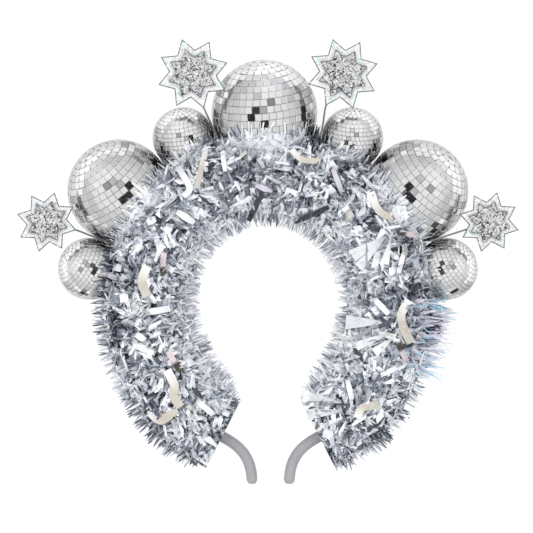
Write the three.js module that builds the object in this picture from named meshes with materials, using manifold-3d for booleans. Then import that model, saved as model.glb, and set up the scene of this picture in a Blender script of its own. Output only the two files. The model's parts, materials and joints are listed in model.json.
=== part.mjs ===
// A party headband: a plastic band wound with tinsel garland, seven mirror balls in a row
// along its crown, and four layered glitter stars on wires between the balls.
//
// Millimetres. The headband lies on its back on a table. +X runs to the right of its front
// view, +Y from the tips towards the crown, and +Z out of its front. The origin is on the
// table, below the middle of the outline.

import * as THREE from "three";
import { mergeVertices } from "three/addons/utils/BufferGeometryUtils.js";
import Module from "manifold-3d";

// Fit between pieces
const clearance = 0.35; // between pieces that touch on the real headband
const ballGap = 0.3; // between neighbouring balls

// Band: its centreline is a half ellipse over the crown, then a leg and a bare end on each side
const bandHalfWidth = 60.3; // centre plane to the centreline at its widest
const bandRise = 61.55; // widest level up to the top of the crown
const bandDrop = 91.1; // widest level down to the tips
const tipHalfGap = 9.1; // middle of the lower end to the centreline at a tip
const cutHalfGap = 23.8; // and where the tinsel is cut off
const lowerShift = 1.3; // the lower end sits right of the band's middle by this
const cutDrop = 67.9; // widest level down to there
const cutSlope = 27; // degrees below level at which the centreline runs there
const legPull = 35; // how strongly a leg holds straight at the widest level
const upperCutPull = 11; // the same just above where the tinsel is cut off
const lowerCutPull = 11; // just below there
const tipPull = 12.3; // and at a tip
const bandThickness = 5.5; // towards the head
const bandDepth = 9; // front to back
const bandSquareness = 2.6; // of its section: 2 is an ellipse, more is squarer
const bluntTip = 0.35; // thickness of the band's very end, as a share of its thickness

// Tinsel garland
const pileDepth = 14.95; // dense tinsel over the band's outer face
const fringeReach = 25; // band's centreline to the tips of most locks
const fringeSpread = 1.6; // how much the tips scatter about that reach
const pressedStretch = 1.25; // a lock pressed aside by a ball reaches further by this share
const taperLength = 26; // stretch over which the garland narrows to each end
const endShare = 0.74; // garland's radius at its ends, as a share of its full radius
const lockRingPitch = 12.6; // along the band
const locksPerRing = 6;
const lockWidth = 11;
const lockThickness = 4.4;
const lockShape = [1, 0.9, 0.2]; // share of its width at a lock's root, middle and tip
const lockRoot = 0.55; // how far out a lock starts, as a share of the dense tinsel's radius
const lockLean = 0.3; // slope, along the band, of the locks that lean most
const lockScatter = 0.15; // of their places round the band, as a share of their spacing

// Mirror balls
const crownBallDiameter = 52;
const largeBallDiameter = 50.6;
const smallBallDiameter = 30.6;
const crownBallShift = 1.15; // the crown ball sits left of the band's middle by this
const poleLean = 30; // degrees that a ball's tile pole leans towards the front

// Stars
const upperStarRadius = 17.8;
const lowerStarRadius = 15.1;
const starNotchShare = 0.66; // notch radius over point radius
const frontStarShare = 0.705; // front layer over back layer
const starPoints = 8;
const starLayerThickness = 1.5;
const upperStarStem = 28.3; // from where two balls meet to the star's middle
const lowerStarStem = 27.2;
const starLean = 3; // degrees that a stem leans away from the crown
const upperStarSpin = { left: -3, right: -8 }; // degrees that a star is turned from its stem
const lowerStarSpin = { left: 3, right: 12 };
const pointHold = 10; // a stem runs along a star's point if that is turned by less than this
const wireDiameter = 0.9;
const wireFootLength = 7; // stretch of a stem that lies along the band
const wireBend = 2.5; // how far before and after a corner the wire bends

// Faceting
const bandSides = 8;
const bandPitch = 9.5;
const barePitch = 4.2; // the same where the band is bare
const pilePitch = 12;
const pileSides = 10;
const wireSides = 5;
const largeBallFacets = { around: 20, rows: 10 };
const smallBallFacets = { around: 16, rows: 8 };

const front = new THREE.Vector3(0, 0, 1);
const pileRadius = bandThickness / 2 + pileDepth;
const ballDiameters = [crownBallDiameter, largeBallDiameter, smallBallDiameter];
const tableLevel = -Math.max(...ballDiameters) / 2; // the band's mid plane is level 0 here

// The balls of one side, from the crown down. sink: 0 on the dense tinsel, 1 down on the band
const ballRow = [
  { name: "crown", diameter: crownBallDiameter, sink: 1, facets: largeBallFacets },
  { name: "small_upper", diameter: smallBallDiameter, sink: 0.41, facets: smallBallFacets },
  { name: "large", diameter: largeBallDiameter, sink: 0.95, facets: largeBallFacets },
  { name: "small_lower", diameter: smallBallDiameter, sink: 0.31, facets: smallBallFacets },
];

// The stars of one side. Each stem rises between the ball named here and the one below it
const starRow = [
  {
    name: "upper",
    above: "crown",
    radius: upperStarRadius,
    stem: upperStarStem,
    spin: upperStarSpin,
  },
  {
    name: "lower",
    above: "large",
    radius: lowerStarRadius,
    stem: lowerStarStem,
    spin: lowerStarSpin,
  },
];

const sides = [
  { name: "right", sign: 1 },
  { name: "left", sign: -1 },
];

const wasm = await Module();
wasm.setup();
const Solid = wasm.Manifold;

const paint = (color, roughness, metalness) =>
  new THREE.MeshStandardMaterial({ color, roughness, metalness });
const bandPlastic = paint(0xa8a9ac, 0.5, 0);
const tinselFilm = paint(0xb4bac6, 0.25, 0.9);
const mirrorTile = paint(0xdadbdb, 0.1, 0.9);
const whiteGlitter = paint(0xf1eff2, 0.6, 0.1);
const silverGlitter = paint(0xb9babb, 0.4, 0.7);
const wireSteel = paint(0x6e6f72, 0.4, 0.9);

// Turns a closed geometry into a solid
function toSolid(geometry) {
  const bare = geometry.clone();
  bare.deleteAttribute("normal");
  bare.deleteAttribute("uv");
  const merged = mergeVertices(bare, 1e-4);
  return new Solid(
    new wasm.Mesh({
      numProp: 3,
      vertProperties: new Float32Array(merged.attributes.position.array),
      triVerts: new Uint32Array(merged.index.array),
    }),
  );
}

function toGeometry(solid) {
  const mesh = solid.getMesh();
  const geometry = new THREE.BufferGeometry();
  geometry.setAttribute("position", new THREE.BufferAttribute(mesh.vertProperties, 3));
  geometry.setIndex(new THREE.BufferAttribute(mesh.triVerts, 1));
  geometry.computeVertexNormals();
  return geometry;
}

// Closed skin over rings of equal point count, capped at both ends
function loft(rings) {
  const count = rings[0].length;
  const points = rings.flat();
  const faces = [];
  for (let r = 0; r + 1 < rings.length; r++) {
    for (let i = 0; i < count; i++) {
      const j = (i + 1) % count;
      const [a, b] = [r * count + i, r * count + j];
      faces.push(a, b, b + count, a, b + count, a + count);
    }
  }
  const last = (rings.length - 1) * count;
  for (let i = 1; i + 1 < count; i++) {
    faces.push(0, i + 1, i);
    faces.push(last, last + i, last + i + 1);
  }
  const geometry = new THREE.BufferGeometry().setFromPoints(points);
  geometry.setIndex(faces);
  geometry.computeVertexNormals();
  return geometry;
}

const bezier = (...points) =>
  new THREE.CubicBezierCurve3(...points.map(([x, y]) => new THREE.Vector3(x, y, 0)));

// Band's centreline, from the left tip over the crown to the right tip
function bandCurve() {
  const round = (4 / 3) * (Math.SQRT2 - 1); // makes a cubic curve follow a quarter ellipse
  const slope = THREE.MathUtils.degToRad(cutSlope);
  const cutPoint = (s, pull) => [
    s * (cutHalfGap + pull * Math.cos(slope)) + lowerShift,
    -cutDrop + pull * Math.sin(slope),
  ];
  const bareEnd = (s) => [
    cutPoint(s, 0),
    cutPoint(s, -lowerCutPull),
    [s * tipHalfGap + lowerShift, -bandDrop + tipPull],
    [s * tipHalfGap + lowerShift, -bandDrop],
  ];
  const leg = (s) => [
    [s * bandHalfWidth, 0],
    [s * bandHalfWidth, -legPull],
    cutPoint(s, upperCutPull),
    cutPoint(s, 0),
  ];
  const shoulder = (s) => [
    [s * bandHalfWidth, 0],
    [s * bandHalfWidth, round * bandRise],
    [s * round * bandHalfWidth, bandRise],
    [0, bandRise],
  ];
  const path = new THREE.CurvePath();
  path.add(bezier(...bareEnd(-1).reverse()));
  path.add(bezier(...leg(-1).reverse()));
  path.add(bezier(...shoulder(-1)));
  path.add(bezier(...shoulder(1).reverse()));
  path.add(bezier(...leg(1)));
  path.add(bezier(...bareEnd(1)));
  return path;
}

const centreline = bandCurve();
const bandLength = centreline.getLength();
const lengths = centreline.curves.map((curve) => curve.getLength());
const bareTip = lengths[0]; // band left bare at each end
const crownDistance = lengths[0] + lengths[1] + lengths[2]; // left tip to the crown's top
const endOverrun = bareTip / 2; // the garland is built longer by this, then cut off square

// Place and directions at a distance along the band
function bandFrame(distance) {
  const u = THREE.MathUtils.clamp(distance / bandLength, 0, 1);
  const along = centreline.getTangentAt(u);
  return {
    at: centreline.getPointAt(u),
    along,
    out: new THREE.Vector3(-along.y, along.x, 0), // away from the head
  };
}

// Point beside the band: outwards and frontwards of its centreline
const beside = (frame, outward, frontward, forward = 0) =>
  frame.at
    .clone()
    .addScaledVector(frame.out, outward)
    .addScaledVector(front, frontward)
    .addScaledVector(frame.along, forward);

// Evenly spaced distances from one end to the other
function stations(from, to, pitch) {
  const steps = Math.max(1, Math.round((to - from) / pitch));
  return Array.from({ length: steps + 1 }, (_, i) => from + ((to - from) * i) / steps);
}

// Band with rounded edges and tips, or with extra the room that the band takes
function bandSolid(extra = 0) {
  const tipRound = bandThickness / 2;
  const roundSteps = [0, 0.12 * tipRound, 0.5 * tipRound];
  const distances = [
    ...roundSteps,
    ...stations(tipRound, bareTip, barePitch),
    ...stations(bareTip, bandLength - bareTip, bandPitch).slice(1, -1),
    ...stations(bandLength - bareTip, bandLength - tipRound, barePitch),
    ...roundSteps.map((step) => bandLength - step).reverse(),
  ];
  const power = (value) => Math.sign(value) * Math.abs(value) ** (2 / bandSquareness);
  const rings = distances.map((distance) => {
    const frame = bandFrame(distance);
    const fromEnd = Math.min(distance, bandLength - distance, tipRound);
    const roundness = Math.sqrt(1 - (1 - fromEnd / tipRound) ** 2);
    const shrink = THREE.MathUtils.lerp(bluntTip, 1, roundness);
    const halfThickness = (bandThickness / 2) * shrink + extra;
    const halfDepth = bandDepth / 2 - tipRound * (1 - shrink) + extra;
    return Array.from({ length: bandSides }, (_, i) => {
      const angle = (2 * Math.PI * (i + 0.5)) / bandSides;
      return beside(
        frame,
        power(Math.cos(angle)) * halfThickness,
        power(Math.sin(angle)) * halfDepth,
      );
    });
  });
  return toSolid(loft(rings));
}

// Ball middle at a distance along the band
function ballMiddle(ball, distance) {
  const bandFace = bandThickness / 2 + clearance;
  const seat = pileRadius + (bandFace - pileRadius) * ball.sink;
  return beside(bandFrame(distance), seat + ball.diameter / 2, 0);
}

// Balls touch their neighbours, so each one's place follows from the one before
function placeBalls() {
  const placed = [];
  let before = null;
  for (const row of ballRow) {
    const ball = { ...row, radius: row.diameter / 2 };
    let distance = crownDistance + crownBallShift;
    if (before) {
      const apart = before.radius + ball.radius + ballGap;
      let [near, far] = [before.distance, before.distance + 3 * apart];
      for (let step = 0; step < 40; step++) {
        distance = (near + far) / 2;
        const gap = ballMiddle(ball, distance).distanceTo(before.middle);
        if (gap < apart) near = distance;
        else far = distance;
      }
    }
    const place = { ...ball, distance, middle: ballMiddle(ball, distance) };
    placed.push(place);
    before = place;
  }
  return placed;
}

const mirrored = (point, sign) => new THREE.Vector3(sign * point.x, point.y, point.z);

const sideBalls = placeBalls();
const onSide = (ball, side, name) => ({
  ...ball,
  name,
  middle: mirrored(ball.middle, side.sign),
  distance: side.sign > 0 ? ball.distance : 2 * crownDistance - ball.distance,
});
const balls = [
  onSide(sideBalls[0], sides[1], "ball_crown"),
  ...sides.flatMap((side) =>
    sideBalls.slice(1).map((ball) => onSide(ball, side, `ball_${ball.name}_${side.name}`)),
  ),
];

// Faceted mirror ball. Its pole leans from straight outwards to the front
function ballMesh(ball, extra = 0) {
  const lean = THREE.MathUtils.degToRad(poleLean);
  const pole = bandFrame(ball.distance)
    .out.clone()
    .multiplyScalar(Math.cos(lean))
    .addScaledVector(front, Math.sin(lean));
  const { around, rows } = ball.facets;
  const geometry = new THREE.SphereGeometry(ball.radius + extra, around, rows);
  const mesh = new THREE.Mesh(geometry, mirrorTile);
  mesh.name = ball.name;
  mesh.position.copy(ball.middle);
  mesh.quaternion.setFromUnitVectors(new THREE.Vector3(0, 1, 0), pole);
  return mesh;
}

const placedSolid = (mesh) => {
  mesh.updateMatrixWorld(true);
  return toSolid(mesh.geometry.clone().applyMatrix4(mesh.matrixWorld));
};

// Corners of an eight-pointed star whose first point is along +X
function starCorners(radius) {
  return Array.from({ length: 2 * starPoints }, (_, i) => {
    const reach = i % 2 ? radius * starNotchShare : radius;
    const angle = (Math.PI * i) / starPoints;
    return new THREE.Vector2(Math.cos(angle) * reach, Math.sin(angle) * reach);
  });
}

// How high the balls stand below a star, so that it can lie clear in front of them
function heightUnder(centre, turn, radius) {
  const corners = starCorners(radius).map((corner) =>
    corner.rotateAround(new THREE.Vector2(), turn).add(centre),
  );
  let height = 0;
  corners.forEach((corner, i) => {
    const next = corners[(i + 1) % corners.length];
    for (let share = 0; share < 1; share += 0.1) {
      const point = corner.clone().lerp(next, share);
      for (const ball of sideBalls) {
        const offset = Math.hypot(point.x - ball.middle.x, point.y - ball.middle.y);
        if (offset > ball.radius) continue;
        height = Math.max(height, Math.sqrt(ball.radius ** 2 - offset ** 2));
      }
    }
  });
  return height;
}

// Distance along the band, between two others, at which a point lies straight outwards
function distanceBelow(point, from, to) {
  let [near, far] = [from, to];
  for (let step = 0; step < 40; step++) {
    const frame = bandFrame((near + far) / 2);
    if (point.clone().sub(frame.at).dot(frame.along) > 0) near = (near + far) / 2;
    else far = (near + far) / 2;
  }
  return (near + far) / 2;
}

// One star, as if on the right side. Its stem leaves the band, passes in front of where two
// balls meet, and runs along the star's back to its middle
function placeStar(star, spin) {
  const index = sideBalls.findIndex((ball) => ball.name === star.above);
  const [upper, lower] = [sideBalls[index], sideBalls[index + 1]];
  const line = lower.middle.clone().sub(upper.middle).normalize();
  const meeting = upper.middle.clone().addScaledVector(line, upper.radius + ballGap / 2);
  const lean = THREE.MathUtils.degToRad(starLean);
  const away = new THREE.Vector3(-line.y, line.x, 0).applyAxisAngle(front, -lean);
  const centre = meeting.clone().addScaledVector(away, star.stem);
  const towardsBand = Math.atan2(-away.y, -away.x);
  const turn = towardsBand + THREE.MathUtils.degToRad(spin);
  const entry = new THREE.Vector3(star.radius, 0, 0);
  entry.applyAxisAngle(front, Math.abs(spin) < pointHold ? turn : towardsBand);
  const wireRadius = wireDiameter / 2;
  const stemLevel = heightUnder(centre, turn, star.radius) + clearance;
  // This far in front of the meeting point, the gap between the balls lets the wire through
  const room = wireRadius + 3 * clearance;
  const crevice = Math.sqrt((4 * room) / (1 / upper.radius + 1 / lower.radius));
  const foot = bandFrame(distanceBelow(meeting, upper.distance, lower.distance));
  const footRise = bandThickness / 2 + clearance + wireRadius;
  const stemRoute = [
    beside(foot, footRise, 0, wireFootLength),
    beside(foot, footRise, 0),
    beside(foot, footRise, crevice),
    meeting.setZ(crevice),
    centre.clone().add(entry).setZ(stemLevel),
    centre.clone().setZ(stemLevel),
  ];
  return { ...star, centre, turn, back: stemLevel + wireRadius + clearance, stemRoute };
}

const stars = sides.flatMap((side) =>
  starRow.map((row) => {
    const star = placeStar(row, side.sign * row.spin[side.name]);
    return {
      ...star,
      side: side.name,
      centre: mirrored(star.centre, side.sign),
      turn: side.sign > 0 ? star.turn : Math.PI - star.turn,
      stemRoute: star.stemRoute.map((point) => mirrored(point, side.sign)),
    };
  }),
);

// Rounds the corners of a bent wire's route
function rounded(route) {
  const out = [route[0]];
  for (let i = 1; i + 1 < route.length; i++) {
    const [before, corner, after] = [route[i - 1], route[i], route[i + 1]];
    const cut = Math.min(wireBend, corner.distanceTo(before) / 2, corner.distanceTo(after) / 2);
    const start = corner.clone().lerp(before, cut / corner.distanceTo(before));
    const end = corner.clone().lerp(after, cut / corner.distanceTo(after));
    const bend = new THREE.QuadraticBezierCurve3(start, corner, end);
    out.push(...bend.getPoints(2));
  }
  out.push(route.at(-1));
  return out;
}

// Round wire along a route
function wireGeometry(route, diameter) {
  const points = rounded(route);
  let aside = new THREE.Vector3(0.3, 0.2, 1).normalize();
  const rings = points.map((point, i) => {
    const before = points[Math.max(0, i - 1)];
    const after = points[Math.min(points.length - 1, i + 1)];
    const along = after.clone().sub(before).normalize();
    aside = aside.clone().addScaledVector(along, -aside.dot(along)).normalize();
    const across = new THREE.Vector3().crossVectors(along, aside);
    return Array.from({ length: wireSides }, (_, k) => {
      const angle = (2 * Math.PI * k) / wireSides;
      return point
        .clone()
        .addScaledVector(aside, (Math.cos(angle) * diameter) / 2)
        .addScaledVector(across, (Math.sin(angle) * diameter) / 2);
    });
  });
  return loft(rings);
}

// Small repeatable scatter, from -1 to 1
function scatterer(seed) {
  const [factor, step, range] = [1664525, 1013904223, 2 ** 32];
  let state = seed;
  return () => {
    state = (state * factor + step) % range;
    return (2 * state) / range - 1;
  };
}

// Share of the garland's full radius at a distance along the band: less towards its ends
function fullness(distance) {
  const fromEnd = Math.min(distance, bandLength - distance) - bareTip;
  const share = THREE.MathUtils.clamp(fromEnd / taperLength, 0, 1);
  return THREE.MathUtils.lerp(endShare, 1, Math.sin((share * Math.PI) / 2));
}

// Dense middle of the garland
function pileSolid() {
  const from = bareTip - endOverrun;
  const rings = stations(from, bandLength - from, pilePitch).map((distance) => {
    const frame = bandFrame(distance);
    const radius = pileRadius * fullness(distance);
    return Array.from({ length: pileSides }, (_, i) => {
      const angle = (2 * Math.PI * (i + 0.5)) / pileSides;
      return beside(frame, Math.cos(angle) * radius, Math.sin(angle) * radius);
    });
  });
  return toSolid(loft(rings));
}

// Middle line of one lock of fringe. A ball or the table in its way turns it aside
function lockLine(frame, angle, lean, reach) {
  const steps = 6;
  const start = lockRoot * pileRadius;
  const room = clearance + lockThickness / 2;
  const point = beside(frame, Math.cos(angle) * start, Math.sin(angle) * start);
  const heading = point.clone().sub(frame.at).normalize();
  heading.addScaledVector(frame.along, lean).normalize();
  const line = [point.clone()];
  let stride = (reach - start) / steps;
  for (let i = 0; i < steps; i++) {
    const next = point.clone().addScaledVector(heading, stride);
    for (const ball of balls) {
      const from = next.clone().sub(ball.middle);
      if (from.length() > ball.radius + room) continue;
      next.copy(ball.middle).add(from.setLength(ball.radius + room));
      stride = (pressedStretch * (reach - start)) / steps;
    }
    heading.copy(next).sub(point).normalize();
    point.copy(next);
    line.push(point.clone());
  }
  return line;
}

// One lock: a flat blade with a ridge, which narrows to its tip
function lockSolid(distance, angle, lean, reach) {
  const frame = bandFrame(distance);
  const line = lockLine(frame, angle, lean, reach);
  const rings = lockShape.map((share, i) => {
    const pick = Math.round((i * (line.length - 1)) / (lockShape.length - 1));
    const before = line[Math.max(pick - 1, 0)];
    const after = line[Math.min(pick + 1, line.length - 1)];
    const ahead = after.clone().sub(before).normalize();
    const across = new THREE.Vector3().crossVectors(ahead, frame.along).normalize();
    const broad = new THREE.Vector3().crossVectors(across, ahead);
    return [
      line[pick].clone().addScaledVector(broad, (-lockWidth / 2) * share),
      line[pick].clone().addScaledVector(broad, (lockWidth / 2) * share),
      line[pick].clone().addScaledVector(across, lockThickness * share),
    ].map((corner) => corner.setZ(Math.max(corner.z, tableLevel)));
  });
  return toSolid(loft(rings));
}

// All locks of fringe, in staggered rings along the band
function lockSolids() {
  const scatter = scatterer(7);
  const solids = [];
  stations(bareTip, bandLength - bareTip, lockRingPitch).forEach((distance, row) => {
    for (let i = 0; i < locksPerRing; i++) {
      const turn = i + (row % 2) / 2 + lockScatter * scatter();
      const angle = (2 * Math.PI * turn) / locksPerRing;
      const reach = (fringeReach + fringeSpread * scatter()) * fullness(distance);
      solids.push(lockSolid(distance, angle, lockLean * scatter(), reach));
    }
  });
  return solids;
}

// Room past one end of the garland, where it is cut off square to the band
function endCutSolid(distance, sign) {
  const frame = bandFrame(distance);
  const length = 1.3 * endOverrun;
  const cut = new THREE.Mesh(new THREE.BoxGeometry(length, 3 * fringeReach, 3 * fringeReach));
  cut.rotation.z = Math.atan2(frame.along.y, frame.along.x);
  cut.position.copy(frame.at).addScaledVector(frame.along, (sign * length) / 2);
  return placedSolid(cut);
}

// Garland: dense pile and locks fused, with room for the band, the balls and the stems
function garlandMesh() {
  const fused = Solid.union([pileSolid(), ...lockSolids()]);
  const room = [
    bandSolid(clearance),
    ...balls.map((ball) => placedSolid(ballMesh(ball, clearance))),
    ...stars.map((star) => toSolid(wireGeometry(star.stemRoute, wireDiameter + 2 * clearance))),
    endCutSolid(bareTip, -1),
    endCutSolid(bandLength - bareTip, 1),
  ];
  // The balls' cups cut loose the very tips of a few locks, which are left out
  const trimmed = fused.subtract(Solid.union(room));
  const [garland] = trimmed.decompose().sort((a, b) => b.volume() - a.volume());
  const mesh = new THREE.Mesh(toGeometry(garland), tinselFilm);
  mesh.name = "tinsel_garland";
  return mesh;
}

function bandMesh() {
  const mesh = new THREE.Mesh(toGeometry(bandSolid()), bandPlastic);
  mesh.name = "headband";
  return mesh;
}

// One star: back layer, smaller front layer, and the wire that carries them
function starGroup(star) {
  const group = new THREE.Group();
  const layer = (name, radius, level, finish) => {
    const shape = new THREE.Shape(starCorners(radius));
    const settings = { depth: starLayerThickness, bevelEnabled: false };
    const mesh = new THREE.Mesh(new THREE.ExtrudeGeometry(shape, settings), finish);
    mesh.name = `${name}_${star.name}_${star.side}`;
    mesh.position.set(star.centre.x, star.centre.y, level);
    mesh.rotation.z = star.turn;
    group.add(mesh);
  };
  layer("star_back", star.radius, star.back, whiteGlitter);
  const frontLevel = star.back + starLayerThickness + clearance;
  layer("star_front", star.radius * frontStarShare, frontLevel, silverGlitter);
  const stem = new THREE.Mesh(wireGeometry(star.stemRoute, wireDiameter), wireSteel);
  stem.name = `star_stem_${star.name}_${star.side}`;
  group.add(stem);
  return group;
}

const headpiece = new THREE.Group();
headpiece.add(bandMesh(), garlandMesh());
balls.forEach((ball) => headpiece.add(ballMesh(ball)));
stars.forEach((star) => headpiece.add(starGroup(star)));

// The table is at level 0, and the middle of the outline over the origin
const outline = new THREE.Box3().setFromObject(headpiece, true);
const middle = outline.getCenter(new THREE.Vector3());
headpiece.position.set(-middle.x, -middle.y, -outline.min.z);

export default headpiece;
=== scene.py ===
import json
import math
import random

import bmesh
import bpy
from mathutils import Matrix, Vector

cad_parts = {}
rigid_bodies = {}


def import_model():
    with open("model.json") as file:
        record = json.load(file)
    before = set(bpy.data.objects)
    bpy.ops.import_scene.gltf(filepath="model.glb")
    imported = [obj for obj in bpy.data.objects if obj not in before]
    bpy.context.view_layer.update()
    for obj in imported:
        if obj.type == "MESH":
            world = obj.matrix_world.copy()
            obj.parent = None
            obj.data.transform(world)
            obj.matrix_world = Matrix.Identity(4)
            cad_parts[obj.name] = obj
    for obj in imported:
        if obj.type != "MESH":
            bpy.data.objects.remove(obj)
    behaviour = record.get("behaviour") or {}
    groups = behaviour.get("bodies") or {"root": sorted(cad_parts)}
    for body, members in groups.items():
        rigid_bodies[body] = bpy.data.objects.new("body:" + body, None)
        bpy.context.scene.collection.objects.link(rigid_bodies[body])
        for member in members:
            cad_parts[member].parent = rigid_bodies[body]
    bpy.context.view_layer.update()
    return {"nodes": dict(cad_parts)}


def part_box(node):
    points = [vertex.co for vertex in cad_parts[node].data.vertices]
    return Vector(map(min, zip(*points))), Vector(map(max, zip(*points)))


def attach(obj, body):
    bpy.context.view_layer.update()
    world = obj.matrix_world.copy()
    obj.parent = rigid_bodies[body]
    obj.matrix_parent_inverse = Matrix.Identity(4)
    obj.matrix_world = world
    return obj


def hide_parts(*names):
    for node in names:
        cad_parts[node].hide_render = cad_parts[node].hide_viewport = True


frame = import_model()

mm = 0.001
inFront = Vector((0, 0, 1))


class Value:  # a node socket that takes part in Python sums
    def __init__(self, graph, socket):
        self.graph = graph
        self.socket = socket

    def __add__(self, other):
        return self.graph.maths("ADD", self, other)

    def __sub__(self, other):
        return self.graph.maths("SUBTRACT", self, other)

    def __mul__(self, other):
        return self.graph.maths("MULTIPLY", self, other)

    def __truediv__(self, other):
        return self.graph.maths("DIVIDE", self, other)

    def __radd__(self, other):
        return self.graph.maths("ADD", other, self)

    def __rsub__(self, other):
        return self.graph.maths("SUBTRACT", other, self)

    def __rmul__(self, other):
        return self.graph.maths("MULTIPLY", other, self)

    def __rtruediv__(self, other):
        return self.graph.maths("DIVIDE", other, self)

    def __pow__(self, other):
        return self.graph.maths("POWER", self, other)


class Graph:  # one node tree, of a material or of geometry
    def __init__(self, tree):
        self.tree = tree

    def plug(self, socket, value):
        if isinstance(value, Value):
            self.tree.links.new(value.socket, socket)
        elif socket.type == "RGBA":
            socket.default_value = (*value, 1)
        elif isinstance(value, Vector):
            socket.default_value = tuple(value)
        else:
            socket.default_value = value

    def add(self, kind, settings=None, values=None, out=0):
        node = self.tree.nodes.new(kind)
        for name, setting in (settings or {}).items():
            if name == "stops":  # of a colour ramp
                self.setStops(node.color_ramp, setting)
            else:
                setattr(node, name, setting)
        for key, value in (values or {}).items():
            self.plug(node.inputs[key], value)
        return Value(self, node.outputs[out]) if len(node.outputs) else node

    def setStops(self, ramp, stops):
        while len(ramp.elements) < len(stops):
            ramp.elements.new(0.5)
        for element, (place, colour) in zip(ramp.elements, stops):
            element.position = place
            element.color = (*colour, 1)

    def other(self, value, name):  # another output of the same node
        return Value(self, value.socket.node.outputs[name])

    def maths(self, operation, *values, clamp=False):
        settings = {"operation": operation, "use_clamp": clamp}
        return self.add("ShaderNodeMath", settings, dict(enumerate(values)))

    def vector(self, operation, *values, out="Vector"):
        settings = {"operation": operation}
        return self.add("ShaderNodeVectorMath", settings, dict(enumerate(values)), out)

    def scaled(self, vector, factor):
        return self.add("ShaderNodeVectorMath", {"operation": "SCALE"}, {0: vector, "Scale": factor})

    def ramp(self, factor, *stops, kind="LINEAR"):
        made = self.add("ShaderNodeValToRGB", {"stops": stops}, {"Fac": factor})
        made.socket.node.color_ramp.interpolation = kind
        return made

    def between(self, value, low, high, start=0.0, end=1.0):  # smooth step from one value to another
        settings = {"interpolation_type": "SMOOTHSTEP"}
        return self.add("ShaderNodeMapRange", settings, {0: value, 1: low, 2: high, 3: start, 4: end})

    def mixed(self, factor, first, second, blend="MIX"):
        settings = {"data_type": "RGBA", "blend_type": blend}
        return self.add("ShaderNodeMix", settings, {0: factor, 6: first, 7: second}, 2)

    def noise(self, place, scale, detail=3.0, roughness=0.5, distortion=0.0, out=0):
        values = {"Vector": place, "Scale": scale, "Detail": detail, "Roughness": roughness}
        return self.add("ShaderNodeTexNoise", None, {**values, "Distortion": distortion}, out)

    def random(self, low, high, seed, kind="FLOAT"):
        ports = {"FLOAT": (2, 3, 1), "FLOAT_VECTOR": (0, 1, 0)}[kind]
        values = {ports[0]: low, ports[1]: high, "Seed": seed}
        return self.add("FunctionNodeRandomValue", {"data_type": kind}, values, ports[2])

    def here(self):  # position on the object
        return self.add("ShaderNodeTexCoord", out="Object")

    def carried(self, name, out="Fac"):  # attribute that the mesh carries into its material
        return self.add("ShaderNodeAttribute", {"attribute_name": name}, out=out)

    def part(self, vector, axis):
        return self.add("ShaderNodeSeparateXYZ", None, {0: vector}, axis)

    def joined(self, x, y, z):
        return self.add("ShaderNodeCombineXYZ", None, {0: x, 1: y, 2: z})

    def moved(self, shape, place):
        return self.add("GeometryNodeSetPosition", None, {"Geometry": shape, "Position": place})

    def copies(self, points, shape, rotation, scale, pick=False):
        values = {"Points": points, "Instance": shape, "Rotation": rotation, "Scale": scale}
        return self.add("GeometryNodeInstanceOnPoints", None, {**values, "Pick Instance": pick})

    def shapeOf(self, item):
        return self.add("GeometryNodeObjectInfo", None, {"Object": item}, "Geometry")

    def attribute(self, name, kind="FLOAT"):
        return self.add("GeometryNodeInputNamedAttribute", {"data_type": kind}, {"Name": name})

    def store(self, shape, name, value, kind="FLOAT", domain="POINT"):
        settings = {"data_type": kind, "domain": domain}
        values = {"Geometry": shape, "Name": name, "Value": value}
        return self.add("GeometryNodeStoreNamedAttribute", settings, values)


def material(name):
    made = bpy.data.materials.new(name)
    made.use_nodes = True
    made.node_tree.nodes.clear()
    graph = Graph(made.node_tree)
    graph.finish = made
    return graph


def surface(graph, **values):  # Principled surface. Its sockets have short names here
    names = {
        "colour": "Base Color",
        "roughness": "Roughness",
        "metallic": "Metallic",
        "normal": "Normal",
        "glow": "Emission Color",
        "glowStrength": "Emission Strength",
    }
    sockets = {names[key]: value for key, value in values.items()}
    shader = graph.add("ShaderNodeBsdfPrincipled", None, sockets)
    graph.add("ShaderNodeOutputMaterial", None, {"Surface": shader})
    return graph.finish


def bumped(graph, height, distance, strength=1.0):
    return graph.add("ShaderNodeBump", None, {"Height": height, "Distance": distance, "Strength": strength})


def grainedFinish(name, noise, dark, pale, depth, rough, rougher=0, metallic=0.0):  # depth in mm
    g = material(name)
    grain = g.noise(g.here(), *noise)
    colour = g.ramp(grain, (0.3, dark), (0.7, pale))
    roughness = rough + rougher * grain if rougher else rough
    bump = bumped(g, grain, depth * mm)
    return surface(g, colour=colour, roughness=roughness, metallic=metallic, normal=bump)


def newObject(name, data):
    made = bpy.data.objects.new(name, data)
    bpy.context.scene.collection.objects.link(made)
    return made


# Geometry trees: each is built once, and run by a modifier whose inputs are set by identifier
def geometryTree(name, inputs):
    tree = bpy.data.node_groups.new(name, "GeometryNodeTree")
    tree.interface.new_socket("Geometry", in_out="INPUT", socket_type="NodeSocketGeometry")
    for label, kind in inputs.items():
        tree.interface.new_socket(label, in_out="INPUT", socket_type="NodeSocket" + kind)
    tree.interface.new_socket("Geometry", in_out="OUTPUT", socket_type="NodeSocketGeometry")
    graph = Graph(tree)
    entry = tree.nodes.new("NodeGroupInput")
    return tree, graph, {label: Value(graph, entry.outputs[label]) for label in ["Geometry", *inputs]}


def finishTree(graph, shape, finish):
    real = graph.add("GeometryNodeRealizeInstances", None, {"Geometry": shape})
    dressed = graph.add("GeometryNodeSetMaterial", None, {"Geometry": real, "Material": finish})
    end = graph.tree.nodes.new("NodeGroupOutput")
    graph.tree.links.new(dressed.socket, end.inputs["Geometry"])


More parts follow.
